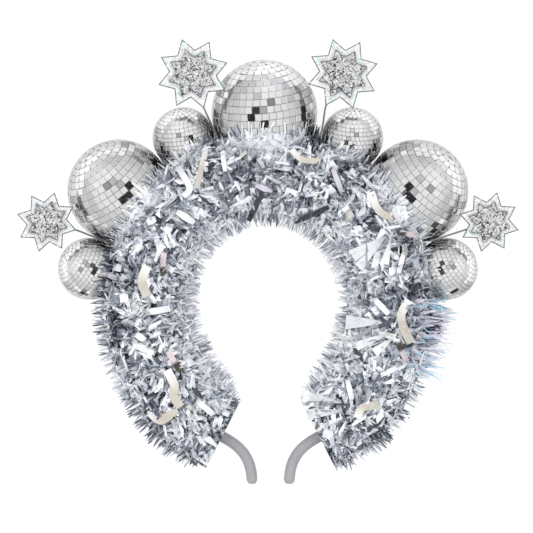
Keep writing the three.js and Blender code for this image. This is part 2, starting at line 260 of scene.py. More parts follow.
def grown(name, tree, settings, host=None):  # runs a tree and keeps its result as a plain mesh
    seedMesh = host or bpy.data.meshes.new(name + "Seed")
    maker = newObject(name + "Maker", seedMesh)
    modifier = maker.modifiers.new("Grow", "NODES")
    modifier.node_group = tree
    for item in tree.interface.items_tree:
        if item.in_out == "INPUT" and item.name in settings:
            modifier[item.identifier] = settings[item.name]
    graph = bpy.context.evaluated_depsgraph_get()
    graph.update()
    mesh = bpy.data.meshes.new_from_object(maker.evaluated_get(graph), depsgraph=graph)
    maker.modifiers.clear()
    bpy.data.objects.remove(maker)
    return newObject(name, mesh)


def meshObject(name, points, faces, finish=None, smooth=False):
    mesh = bpy.data.meshes.new(name)
    mesh.from_pydata([tuple(point) for point in points], [], faces)
    if finish:
        mesh.materials.append(finish)
    mesh.shade_smooth() if smooth else mesh.shade_flat()
    return newObject(name, mesh)


def ringFaces(rings, around, start=0):  # quads between rings of points, one ring after another
    faces = []
    for low in range(start, start + (rings - 1) * around, around):
        for k in range(around):
            a, b = low + k, low + (k + 1) % around
            faces.append((a, b, b + around, a + around))
    return faces


def capFaces(rings, around):  # the first ring and the last, each as one face
    last = (rings - 1) * around
    return [tuple(reversed(range(around))), tuple(range(last, last + around))]


def wear(piece, slot, *nodes):  # rides on the one body, and stands for these CAD nodes
    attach(piece, "root")
    if nodes:
        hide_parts(*nodes)


# Band's centreline, as in the CAD source
band = {
    "thickness": 5.5 * mm,
    "depth": 9 * mm,
    "squareness": 2.6,
    "halfWidth": 60.3 * mm,
    "rise": 61.55 * mm,
    "drop": 91.1 * mm,
    "tipHalfGap": 9.1 * mm,
    "cutHalfGap": 23.8 * mm,
    "lowerShift": 1.3 * mm,
    "cutDrop": 67.9 * mm,
    "cutSlope": math.radians(27),
    "legPull": 35 * mm,
    "upperCutPull": 11 * mm,
    "lowerCutPull": 11 * mm,
    "tipPull": 12.3 * mm,
    "around": 28,
    "steps": 220,
}
bandLow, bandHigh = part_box("headband")
bandMid = (bandLow + bandHigh) / 2
widest = Vector((bandMid.x, bandHigh.y - band["rise"] - band["thickness"] / 2, bandMid.z))
lineSteps = 400  # points along each stretch between two knots


def cutPoint(side, pull):  # where the tinsel is cut off, or a handle beside it
    x = side * (band["cutHalfGap"] + pull * math.cos(band["cutSlope"])) + band["lowerShift"]
    return x, pull * math.sin(band["cutSlope"]) - band["cutDrop"]


def tipPoint(side, pull):
    return side * band["tipHalfGap"] + band["lowerShift"], pull - band["drop"]


def bandLine():
    line = bpy.data.curves.new("bandLine", "CURVE")
    line.dimensions = "3D"
    line.resolution_u = 48
    spline = line.splines.new("BEZIER")
    pull = (4 / 3) * (math.sqrt(2) - 1)  # makes a cubic curve follow a quarter ellipse
    w, rise, leg = band["halfWidth"], band["rise"], -band["legPull"]
    upper, lower = band["upperCutPull"], -band["lowerCutPull"]
    rows = [  # handle before, point, handle after
        (tipPoint(-1, -1 * mm), tipPoint(-1, 0), tipPoint(-1, band["tipPull"])),
        (cutPoint(-1, lower), cutPoint(-1, 0), cutPoint(-1, upper)),
        ((-w, leg), (-w, 0), (-w, pull * rise)),
        ((-pull * w, rise), (0, rise), (pull * w, rise)),
        ((w, pull * rise), (w, 0), (w, leg)),
        (cutPoint(1, upper), cutPoint(1, 0), cutPoint(1, lower)),
        (tipPoint(1, band["tipPull"]), tipPoint(1, 0), tipPoint(1, -1 * mm)),
    ]
    spline.bezier_points.add(len(rows) - 1)
    for knot, places in zip(spline.bezier_points, rows):
        knot.handle_left_type = knot.handle_right_type = "FREE"
        before, at, after = (widest + Vector((x, y, 0)) for x, y in places)
        knot.handle_left, knot.co, knot.handle_right = before, at, after
    return newObject("bandLine", line)


def lineStations(line):  # points along the band, with the distance to each
    spline = line.data.splines[0]
    knots = spline.bezier_points
    points = []
    for a, b in zip(knots, knots[1:]):
        for k in range(lineSteps):
            t = k / lineSteps
            u = 1 - t
            middle = 3 * u * u * t * a.handle_right + 3 * u * t * t * b.handle_left
            points.append(u**3 * a.co + middle + t**3 * b.co)
    points.append(knots[-1].co.copy())
    distances = [0.0]
    for a, b in zip(points, points[1:]):
        distances.append(distances[-1] + (b - a).length)
    return points, distances


centreline = bandLine()
linePoints, lineDistances = lineStations(centreline)
bandLength = lineDistances[-1]
bareTip = lineDistances[lineSteps]  # band left bare at each end


def placeOnBand(distance):  # point, direction along, and direction away from the head
    i = next((i for i, d in enumerate(lineDistances) if d >= distance), len(linePoints) - 1)
    i = min(max(i, 1), len(linePoints) - 2)
    along = (linePoints[i + 1] - linePoints[i - 1]).normalized()
    return linePoints[i], along, Vector((-along.y, along.x, 0))


# Mirror balls: centres from the frame, pole directions as the photo shows each ball's tiles
ballNodes = sorted(name for name in frame["nodes"] if name.startswith("ball_"))
balls = {
    "crownRadius": 26 * mm,
    "largeRadius": 25.3 * mm,
    "smallRadius": 15.3 * mm,
    "clear": 0.12 * mm,  # by which tiles stay inside the CAD ball
    "rows": 23,
    "tilesAround": 45,
    "groutShare": 0.05,  # of a tile's pitch
    "plate": 0.55 * mm,
    "groutDepth": 0.4 * mm,
    "unevenness": 1.0,  # degrees by which tiles sit askew
    "plainTone": {"large": 0.75, "small": 0.8},  # of most tiles; the small balls' tiles are painted lighter against the shade of the tinsel around them
    "paintedRimShade": 0.3,  # painted shade: drop of the tone at the edge of the ball
    "rise": {"ball_crown": 0.1},  # by which the tiles of painted dark reflection sit higher
    "usualRise": 0.03,
    "someOf": 0.7,  # share of the tiles in a larger spot of painted dark reflection that are dark
    "seeds": (3, 11),  # first, and step from ball to ball
    "paintedHighlight": (-0.16, 0.5, 0.55, 0.24),  # painted highlight: across, up, reach, lift of the tone
    "paintedDarkReflections": [  # painted dark reflections: across, up, reach across, reach up, drop of the tone: shares of the ball
        (-0.09, 0.12, 0.085, 0.085, 0.5),
        (0.07, 0.15, 0.08, 0.08, 0.27),
        (0.06, -0.03, 0.08, 0.08, 0.3),
        (0.21, -0.14, 0.08, 0.09, 0.75),
        (0.05, -0.28, 0.1, 0.07, 0.75),
        (-0.8, 0.08, 0.11, 0.42, 0.26),
        (-0.74, -0.26, 0.06, 0.16, 0.6),
        (0.8, 0.1, 0.1, 0.4, 0.3),
        (0.9, -0.12, 0.08, 0.16, 0.6),
        (0.68, 0.5, 0.1, 0.16, 0.25),
    ],
    "poles": {  # degrees from +X in the plane of the band, and the lean to the front
        "ball_crown": (95, 14),
        "ball_small_upper_left": (100, 18),
        "ball_small_upper_right": (87, 18),
        "ball_large_left": (128, 20),
        "ball_large_right": (45, 20),
        "ball_small_lower_left": (150, 20),
        "ball_small_lower_right": (30, 20),
    },
}


def ballRadius(node):
    if "crown" in node:
        return balls["crownRadius"]
    return balls["largeRadius"] if "large" in node else balls["smallRadius"]


def ballCentre(node):
    low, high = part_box(node)
    return (low + high) / 2


ballPlaces = [(ballCentre(node), ballRadius(node)) for node in ballNodes]


def mirrorFinish():
    g = material("mirrorTiles")
    tone = g.carried("tone")
    place = g.here()
    silver = g.ramp(tone, (0.0, (0.012, 0.012, 0.013)), (0.5, (0.5, 0.5, 0.5)), (1.0, (1, 1, 0.99)))
    haze = g.noise(place, 900, 4, 0.6)
    smear = g.noise(place, 240, 3, 0.6)
    dulled = g.mixed(g.between(haze, 0.45, 0.75, 0, 0.12), silver, (0.55, 0.56, 0.57))
    bump = bumped(g, smear, 0.06 * mm, 0.35)
    return surface(g, colour=dulled, roughness=0.07 + 0.16 * smear, metallic=1.0, normal=bump)


squareCorners = ((-1, -1), (1, -1), (1, 1), (-1, 1))


def tileShape():  # square plate of unit size with a bevelled rim, standing on z = 0
    rims = [(0.5, 0.0), (0.5, 0.62), (0.44, 1.0)]
    points = [(x * r, y * r, z) for r, z in rims for x, y in squareCorners]
    return meshObject("tileShape", points, capFaces(3, 4) + ringFaces(3, 4))


def tileTone(g, ins):  # light grey, with a painted highlight, a painted darker rim and painted dark reflections on a few tiles, alike on every ball
    split = g.part(g.attribute("outward", "FLOAT_VECTOR"), "X")
    across = 0.0 - split * ins["Handed"]
    cosine, sine = (g.maths(kind, ins["Lean"]) for kind in ("COSINE", "SINE"))
    up = cosine * g.other(split, "Z") - sine * g.other(split, "Y") - ins["Rise"]

    def apart(x, y, reachX, reachY):
        return g.maths("SQRT", ((across - x) / reachX) ** 2.0 + ((up - y) / reachY) ** 2.0)

    # painted highlight: a brighter spot of tiles
    x, y, reach, lift = balls["paintedHighlight"]
    tone = g.random(-0.05, 0.05, ins["Seed"] + 1.0) + ins["Plain"]
    tone = tone + g.between(apart(x, y, reach, reach), 0.0, 1.0, lift, 0.0)
    # painted shade: darker tiles towards the rim of the ball
    tone = tone - g.between(apart(0.0, 0.0, 1.0, 1.0), 0.72, 1.0, 0.0, balls["paintedRimShade"])
    chance = g.random(0.0, 1.0, ins["Seed"] + 5.0)
    # painted dark reflections: darker tiles in a few spots
    for x, y, reachX, reachY, drop in balls["paintedDarkReflections"]:
        inside = g.maths("LESS_THAN", apart(x, y, reachX, reachY), 1.0)
        if reachY > 0.1:  # only most of the tiles of a larger spot
            inside = inside * g.maths("LESS_THAN", chance, balls["someOf"])
        tone = tone - inside * drop
    return g.maths("MAXIMUM", tone, 0.01)


def tileTree():
    floats = ("Radius", "Around", "Grout", "Plate", "Askew", "Lean", "Handed", "Rise", "Plain")
    sizes = {
        "Tile": "Object",
        "Rows": "Int",
        "Seed": "Int",
        "Centre": "Vector",
        "Turn": "Rotation",
        "Finish": "Material",
        **{name: "Float" for name in floats},
    }
    tree, g, ins = geometryTree("mirrorBallTiles", sizes)
    rows = g.add("GeometryNodeMeshLine", {"mode": "OFFSET"}, {"Count": ins["Rows"]})
    row = g.add("GeometryNodeInputIndex")
    latitude = ((row + 0.5) / ins["Rows"] - 0.5) * math.pi
    count = g.maths("ROUND", g.maths("COSINE", latitude) * ins["Around"])
    rows = g.store(rows, "latitude", latitude)
    rows = g.store(rows, "count", g.maths("MAXIMUM", count, 3.0))
    rows = g.store(rows, "start", g.random(0.0, 1.0, ins["Seed"]))
    copies = {"Geometry": rows, "Amount": g.attribute("count")}
    tiles = g.add("GeometryNodeDuplicateElements", {"domain": "POINT"}, copies)
    column = g.other(tiles, "Duplicate Index")
    latitude, count = g.attribute("latitude"), g.attribute("count")
    longitude = (column + g.attribute("start")) / count * math.tau
    level = g.maths("COSINE", latitude)
    cosine, sine = g.maths("COSINE", longitude), g.maths("SINE", longitude)
    outward = g.joined(level * cosine, level * sine, g.maths("SINE", latitude))
    east = g.joined(0.0 - sine, cosine, 0.0)
    tiles = g.store(tiles, "outward", outward, "FLOAT_VECTOR")
    tiles = g.store(tiles, "east", east, "FLOAT_VECTOR")
    tiles = g.store(tiles, "tone", tileTone(g, ins))
    spot = g.scaled(g.attribute("outward", "FLOAT_VECTOR"), ins["Radius"] - ins["Plate"])
    tiles = g.moved(tiles, spot)
    upright = g.add(
        "FunctionNodeAxesToRotation",
        {"primary_axis": "Z", "secondary_axis": "X"},
        {0: g.attribute("outward", "FLOAT_VECTOR"), 1: g.attribute("east", "FLOAT_VECTOR")},
    )
    askew = g.scaled(g.random((-1, -1, -0.6), (1, 1, 0.6), ins["Seed"] + 2.0, "FLOAT_VECTOR"), ins["Askew"])
    tilt = g.add("FunctionNodeEulerToRotation", None, {0: askew})
    facing = g.add("FunctionNodeRotateRotation", {"rotation_space": "LOCAL"}, {0: upright, 1: tilt})
    pitch = ins["Radius"] * math.pi / ins["Rows"]
    width = ins["Radius"] * math.tau * g.maths("COSINE", g.attribute("latitude")) / g.attribute("count")
    keep = 1.0 - ins["Grout"]
    size = g.joined(width - pitch * ins["Grout"], pitch * keep, ins["Plate"])
    shape = g.shapeOf(ins["Tile"])
    placed = g.copies(tiles, shape, facing, size)
    turned = g.add(
        "GeometryNodeTransform",
        None,
        {"Geometry": placed, "Translation": ins["Centre"], "Rotation": ins["Turn"]},
    )
    finishTree(g, turned, ins["Finish"])
    return tree


def groutBall(name, centre, radius, turn, finish):
    sphere = bmesh.new()
    bmesh.ops.create_uvsphere(sphere, u_segments=40, v_segments=24, radius=radius)
    mesh = bpy.data.meshes.new(name)
    sphere.to_mesh(mesh)
    sphere.free()
    mesh.transform(Matrix.Translation(centre) @ turn.to_matrix().to_4x4())
    mesh.materials.append(finish)
    mesh.shade_smooth()
    return newObject(name, mesh)


def makeBalls():
    tree = tileTree()
    tile = tileShape()
    mirror = mirrorFinish()
    grout = grainedFinish("tileGrout", (2600, 4, 0.65), (0.24, 0.24, 0.245), (0.42, 0.42, 0.425), 0.08, 0.75)
    firstSeed, seedStep = balls["seeds"]
    for number, node in enumerate(ballNodes):
        compass, lean = (math.radians(angle) for angle in balls["poles"][node])
        flat = Vector((math.cos(compass), math.sin(compass), 0))
        pole = math.cos(lean) * flat + math.sin(lean) * inFront
        turn = pole.to_track_quat("Z", "Y")
        centre, radius = ballCentre(node), ballRadius(node)
        settings = {
            "Tile": tile,
            "Radius": radius - balls["clear"],
            "Rows": balls["rows"],
            "Around": float(balls["tilesAround"]),
            "Grout": balls["groutShare"],
            "Plate": balls["plate"],
            "Askew": math.radians(balls["unevenness"]),
            "Seed": firstSeed + seedStep * number,
            "Lean": lean,
            "Handed": 1.0 if node.endswith("left") else -1.0,
            "Rise": balls["rise"].get(node, balls["usualRise"]),
            "Plain": balls["plainTone"]["small" if "small" in node else "large"],
            "Centre": centre,
            "Turn": turn.to_euler(),
            "Finish": mirror,
        }
        tiles = grown(node.replace("ball_", "mirror_tiles_"), tree, settings)
        tiles.data.shade_flat()
        wear(tiles, "mirror_tile", node)
        core = groutBall(node.replace("ball_", "grout_"), centre, radius - balls["groutDepth"], turn, grout)
        wear(core, "mirror_tile")
    bpy.data.objects.remove(tile)
    print("mirror balls:", len(ballNodes))


# Headband: a smooth strip of satin plastic swept along its centreline
def bandFinish():
    g = material("greyPlastic")
    place = g.here()
    mottle = g.noise(place, 160, 3, 0.5)
    grain = g.noise(place, 3200, 4, 0.7)
    colour = g.ramp(mottle, (0.3, (0.29, 0.295, 0.305)), (0.7, (0.32, 0.325, 0.335)))
    bump = bumped(g, grain, 0.03 * mm, 0.5)
    return surface(g, colour=colour, roughness=0.42 + 0.16 * mottle, normal=bump)


def makeBand():
    around, steps = band["around"], band["steps"]
    half = Vector((band["thickness"] / 2, band["depth"] / 2))
    power = 2 / band["squareness"]
    stops = [0.0, 0.0006, 0.0018, 0.004]  # shares of the length over which a tip rounds off
    between = [0.006 + (0.988 * i) / steps for i in range(steps + 1)]
    shares = stops + between + [1 - s for s in reversed(stops)]
    points = []
    for share in shares:
        at, _, out = placeOnBand(share * bandLength)
        fromEnd = min(share, 1 - share) * bandLength / half.x
        full = 1 if fromEnd >= 1 else 0.35 + 0.65 * math.sqrt(1 - (1 - fromEnd) ** 2)
        if share == 0:
            at = linePoints[0]
        if share == 1:
            at = linePoints[-1]
        for k in range(around):
            turn = math.tau * k / around
            x, y = (math.copysign(abs(v) ** power, v) for v in (math.cos(turn), math.sin(turn)))
            points.append(at + out * (x * half.x * full) + inFront * (y * (half.y - half.x * (1 - full))))
    faces = ringFaces(len(shares), around) + capFaces(len(shares), around)
    piece = meshObject("band_strip", points, faces, bandFinish(), smooth=True)
    wear(piece, "band_plastic", "headband")
    print("band: swept")


# Tinsel: strips of film on a crumpled core. Balls press the strips aside, and both ends are cut off flat
tinsel = {
    "taper": 26 * mm,
    "endShare": 0.74,
    "core": 12.5 * mm,
    "clear": 0.35 * mm,  # between strips and what they are pressed against
    "pressedShare": 0.9,  # of a strip's reach where it lies on a ball
    "seed": 5,
    "aboveTable": 0.15 * mm,
    "aside": 0.9,  # share of its depth in a ball by which a point goes sideways
    "locks": (14 * mm, 110),  # where the locks are told apart, out from the band, and how fine they are
    "reachPower": 0.6,  # below 1, more of the strips are long
    "nearBall": (0.8, 1.25),  # tips at these shares of a ball's radius: pressed, and free
    "middle": 40 * mm,  # to this side and that of the middle, the painted shading goes from left to right
    "paintedOuterShade": (-0.16, 0.06),  # painted shade towards the outer edge: on the left, and added on the right
    "paintedFlankLight": (0.17, -0.06),  # painted light at the garland's sides: on the left, and added on the right
    "paintedBallLight": 0.36,  # painted light beside a ball
    "crumple": (0.8, 1.1),  # shares of the core's radius
    "paintedPatches": (  # tone added near a place, painted shade where the change is below zero and painted light where it is above: mm right of and above the widest level, radius, change
        (-75, 13, 9, -0.5),
        (-68, 35, 6, -0.35),
        (-52, -6, 7, 0.25),
        (76, -13, 9, -0.5),
        (67, 4, 8, -0.35),
        (63, -51, 8, -0.4),
        (53, -65, 8, -0.4),
        (-23, 71, 8, -0.35),
        (21, 73, 8, -0.4),
        (-47, 54, 9, -0.2),
        (37, 63, 8, -0.3),
        (63, 42, 8, -0.25),
        (-71, -16, 9, -0.25),
        (-54, -61, 8, -0.25),
        (-9, 80, 7, 0.2),
        (-24, 34, 12, 0.2),
        (14, 38, 12, 0.15),
        (53, 23, 10, 0.3),
        (50, -20, 12, 0.3),
        (27, -52, 9, 0.3),
    ),
    "kinds": ("spikes", "blades", "leaves", "foils", "tuft"),
    "counts": (2300, 800, 3000, 90, 190),  # the first four for each of four stretches of the band
    "lengths": {  # in mm, for each kind in turn
        "Root": (5, 12, 13.5, 16.5, 15),
        "Limit": (21.5, 27, 21.5, 20.5, 33.5),
        "Least Reach": (12, 9, 6, 8, 9),
        "Most Reach": (18.5, 16, 13.5, 15, 20),
        "Least Width": (1.6, 1.3, 1.8, 2.2, 0.8),
        "Most Width": (3.2, 2.5, 4.8, 4.2, 1.7),
        "Sag": (1.8, 0.8, 2.4, 1.5, 1.5),
    },
    "shares": {  # for each kind in turn: parts of the heading, and how much it does so
        "Outward": (1.0, 1.0, 0.34, 0.15, 1.0),
        "Lean": (0.4, 0.22, 0.85, 1.0, 0.25),
        "Swirl": (0.35, 0.25, 0.85, 1.0, 0.5),
        "Clump": (1.2, 1.0, 1.2, 0.0, 0.5),
        "Spread": (0.0, 0.0, 0.3, 0.0, 0.0),
        "Flat": (0.0, 0.0, 0.55, 0.9, 0.0),
        "Sideways": (0.3, 0.5, 0.0, 0.0, 0.0),
        # how much of the painted shade and light each kind takes
        "Shading": (1.0, 1.0, 0.8, 0.0, 0.0),
    },
    "stretches": ("left_leg", "left_crown", "right_crown", "right_leg"),
    "tuft": (-1 * mm, -29 * mm),  # heights between which it stands on the right leg
    "seedSteps": (80, 20, 500),  # from stretch to stretch, from kind to kind, and to the tuft
}


def stripSettings(kind):
    i = tinsel["kinds"].index(kind)
    settings = {"Count": tinsel["counts"][i]}
    settings.update({name: values[i] * mm for name, values in tinsel["lengths"].items()})
    settings.update({name: values[i] for name, values in tinsel["shares"].items()})
    return settings


def cellTones(g, place, scale):  # an even random tone for each cell of about 1 / scale metres
    cells = g.add("ShaderNodeTexVoronoi", {"feature": "F1"}, {"Vector": place, "Scale": scale}, "Color")
    return g.add("ShaderNodeSeparateColor", None, {0: cells}, 0)


def filmFinish():  # painted reflection: each facet has an even tone by the way it faces, as crumpled film mirrors a room
    g = material("tinselFilm")
    tone = g.carried("tone")
    place = g.here()
    facing = g.add("ShaderNodeNewGeometry", out="True Normal")
    # painted reflection: a tone for each facet from the way it faces
    paintedReflection = g.noise(facing, 2.3, 2, 0.6)
    wander = g.noise(place, 130, 2, 0.5, out="Color")
    bent = g.vector("ADD", place, g.scaled(g.vector("SUBTRACT", wander, (0.5, 0.5, 0.5)), 9 * mm))
    patch = cellTones(g, bent, 105.0)
    fleck = g.noise(place, 700, 2, 0.6)
    # the carried tone holds the painted shade and light of the fringe
    mood = 0.5 * tone + 1.05 * (paintedReflection - 0.5) + 0.34 * (patch - 0.5) + 0.22 * (fleck - 0.5) + 0.085
    colour = g.ramp(
        mood,
        (0.0, (0.05, 0.056, 0.075)),
        (0.14, (0.2, 0.22, 0.27)),
        (0.3, (0.5, 0.53, 0.59)),
        (0.5, (0.82, 0.84, 0.87)),
        (0.8, (0.95, 0.955, 0.965)),
    )
    bump = bumped(g, fleck, 0.25 * mm, 0.5)
    return surface(g, colour=colour, roughness=0.45 - 0.25 * paintedReflection, metallic=0.3, normal=bump)


def foilFinish():
    g = material("broadFoil")
    tone = g.carried("tone")
    place = g.here()
    crease = g.noise(place, 260, 3, 0.6, 0.4)
    colour = g.ramp(
        tone,
        (0.0, (0.02, 0.022, 0.03)),
        (0.08, (0.13, 0.14, 0.18)),
        (0.2, (0.76, 0.74, 0.8)),
        (0.32, (0.8, 0.77, 0.71)),
        (0.4, (0.97, 0.97, 0.98)),
        (0.84, (0.5, 0.53, 0.6)),
        kind="CONSTANT",
    )
    # painted shade: grey mixed in along the creases
    paintedCreaseShade = g.mixed(g.between(crease, 0.42, 0.7, 0, 0.45), colour, (0.42, 0.44, 0.5))
    bump = bumped(g, crease, 0.7 * mm, 0.6)
    return surface(g, colour=paintedCreaseShade, roughness=0.15 + 0.3 * crease, metallic=0.3, normal=bump)


def iridescentFinish():
    g = material("iridescentFilm")
    tone = g.carried("tone")
    along = g.carried("along")
    place = g.here()
    glint = cellTones(g, place, 700.0)
    colour = g.ramp(
        0.6 * tone + 0.25 * along + 0.2 * glint,
        (0.0, (0.58, 0.58, 0.68)),
        (0.3, (0.8, 0.75, 0.85)),
        (0.55, (0.9, 0.88, 0.94)),
        (0.68, (0.4, 0.74, 0.85)),
        (0.74, (0.25, 0.66, 0.8)),
        (0.8, (0.88, 0.85, 0.92)),
    )
    return surface(g, colour=colour, roughness=0.15 + 0.25 * glint, metallic=0.25)


def coreFinish():
    g = material("crumpledCore")
    place = g.here()
    spread = cellTones(g, place, 620.0)
    patch = g.noise(place, 90, 3, 0.6)
    colour = g.ramp(
        spread * 0.75 + patch * 0.5 - 0.2,
        (0.0, (0.1, 0.115, 0.15)),
        (0.4, (0.3, 0.33, 0.4)),
        (0.75, (0.62, 0.66, 0.72)),
        (1.0, (0.95, 0.96, 0.98)),
    )
    bump = bumped(g, spread, 0.8 * mm, 0.8)
    return surface(g, colour=colour, roughness=0.3 + 0.2 * patch, metallic=0.3, normal=bump)


def stripShape(name, ridge, *rows):
    # Closed strip from z = 0 to 1. Rows give the height, half width, bend to +Y and shift to +X
    points = []
    for height, half, bend, shift in rows:
        points += [(shift - half, bend, height), (shift + half, bend, height), (shift, bend + ridge, height)]
    made = meshObject(name, points, ringFaces(len(rows), 3) + capFaces(len(rows), 3))
    heights = made.data.attributes.new("along", "FLOAT", "POINT")
    heights.data.foreach_set("value", [point[2] for point in points])
    return made


# Rows of each shape, as stripShape takes them, after its ridge
stripShapes = {
    "spikes": {
        "spikeStraight": (0.3, (0, 0.4, 0, 0), (0.6, 0.46, 0, 0), (1, 0.03, 0, 0)),
        "spikeBent": (0.25, (0, 0.45, 0, 0), (0.5, 0.55, 0.5, 0.1), (0.8, 0.42, 0.5, 0.3), (1, 0.03, 0.2, 0)),
        "spikeKinked": (0.25, (0, 0.45, 0, 0), (0.55, 0.55, 0.6, 0.4), (1, 0.03, -0.3, 0)),
    },
    "leaves": {
        "leafFolded": (0.3, (0, 0.08, 0, 0), (0.4, 0.5, 0.5, 0), (0.7, 0.42, -0.1, 0.3), (1, 0.05, 0.2, 0.2)),
        "leafWedge": (0.15, (0, 0.12, 0, 0), (0.62, 0.55, 0.3, 0.2), (0.9, 0.62, 0, 0.35)),
        "leafKinked": (0.2, (0, 0.45, 0, 0), (0.45, 0.4, 0.8, 0), (0.55, 0.44, 0.9, 0.3), (1, 0.2, 0, 1.2)),
    },
    "foils": {
        "foilStraight": (0.06, (0, 0.5, 0, 0), (0.5, 0.5, 0.15, 0.1), (1, 0.48, 0, 0.15)),
        "foilKinked": (0.06, (0, 0.45, 0, 0), (0.5, 0.5, 0.2, 0), (0.56, 0.5, 0.3, 0.3), (1, 0.42, 0, 2.1)),
        "foilTwisted": (
            0.06,
            (0, 0.5, 0, 0),
            (0.42, 0.5, 0.2, 0.2),
            (0.52, 0.16, 0.4, 0.4),
            (0.62, 0.5, 0.2, 0.6),
            (1, 0.4, 0, 0.9),
        ),
        "foilWedge": (0.06, (0, 0.1, 0, 0), (0.6, 0.75, 0.1, 0.2), (0.85, 0.9, 0, 0.3)),
    },
    "blades": {
        "bladeStraight": (0.3, (0, 0.45, 0, 0), (0.6, 0.5, 0, 0), (1, 0.04, 0, 0)),
        "bladeBowed": (0.25, (0, 0.45, 0, 0), (0.5, 0.5, 0.4, 0), (0.8, 0.34, 0.3, 0), (1, 0.04, 0, 0)),
    },
}


def pressTree():
    # Moves points out of one ball: sideways to its front or back, then onto its surface
    tree = bpy.data.node_groups.new("pressAside", "GeometryNodeTree")
    for label, kind in {"Position": "Vector", "Centre": "Vector", "Radius": "Float"}.items():
        tree.interface.new_socket(label, in_out="INPUT", socket_type="NodeSocket" + kind)
    tree.interface.new_socket("Position", in_out="OUTPUT", socket_type="NodeSocketVector")
    g = Graph(tree)
    entry = tree.nodes.new("NodeGroupInput")
    place, centre, radius = (Value(g, entry.outputs[i]) for i in range(3))
    away = g.vector("SUBTRACT", place, centre)
    depth = radius - g.vector("LENGTH", away, out="Value")
    height = g.part(away, "Z")
    aside = g.joined(0.0, 0.0, g.maths("SIGN", height) * depth * tinsel["aside"])
    shifted = g.vector("ADD", away, aside)
    settled = g.vector("ADD", centre, g.scaled(g.vector("NORMALIZE", shifted), radius))
    inside = g.maths("GREATER_THAN", depth, 0.0)
    chosen = g.add("ShaderNodeMix", {"data_type": "VECTOR"}, {0: inside, 4: place, 5: settled}, 1)
    end = tree.nodes.new("NodeGroupOutput")
    tree.links.new(chosen.socket, end.inputs[0])
    return tree


def kept(g, place, press, ends):  # position after the balls, the flat end cuts and the table
    for centre, radius in ballPlaces:
        values = {"Position": place, "Centre": centre, "Radius": radius + tinsel["clear"]}
        place = g.add("GeometryNodeGroup", {"node_tree": press}, values)
    for at, outward in ends:
        beyond = g.vector("DOT_PRODUCT", g.vector("SUBTRACT", place, at), outward, out="Value")
        side = g.part(g.vector("SUBTRACT", place, widest), "X")
        same = g.maths("GREATER_THAN", side * (1.0 if at.x > widest.x else -1.0), 0.0)
        place = g.vector("SUBTRACT", place, g.scaled(outward, g.maths("MAXIMUM", beyond, 0.0) * same))
    split = g.part(place, "X")
    z = g.maths("MAXIMUM", g.other(split, "Z"), tinsel["aboveTable"])
    return g.joined(split, g.other(split, "Y"), z)


def held(g, place):  # position no farther from the band than the strip's own limit
    hub, axis = (g.attribute(name, "FLOAT_VECTOR") for name in ("hub", "axis"))
    offset = g.vector("SUBTRACT", place, hub)
    level = g.scaled(axis, g.vector("DOT_PRODUCT", offset, axis, out="Value"))
    spoke = g.vector("SUBTRACT", offset, level)
    share = g.maths("MINIMUM", g.attribute("limit") / g.vector("LENGTH", spoke, out="Value"), 1.0)
    return g.vector("ADD", g.vector("ADD", hub, level), g.scaled(spoke, share))


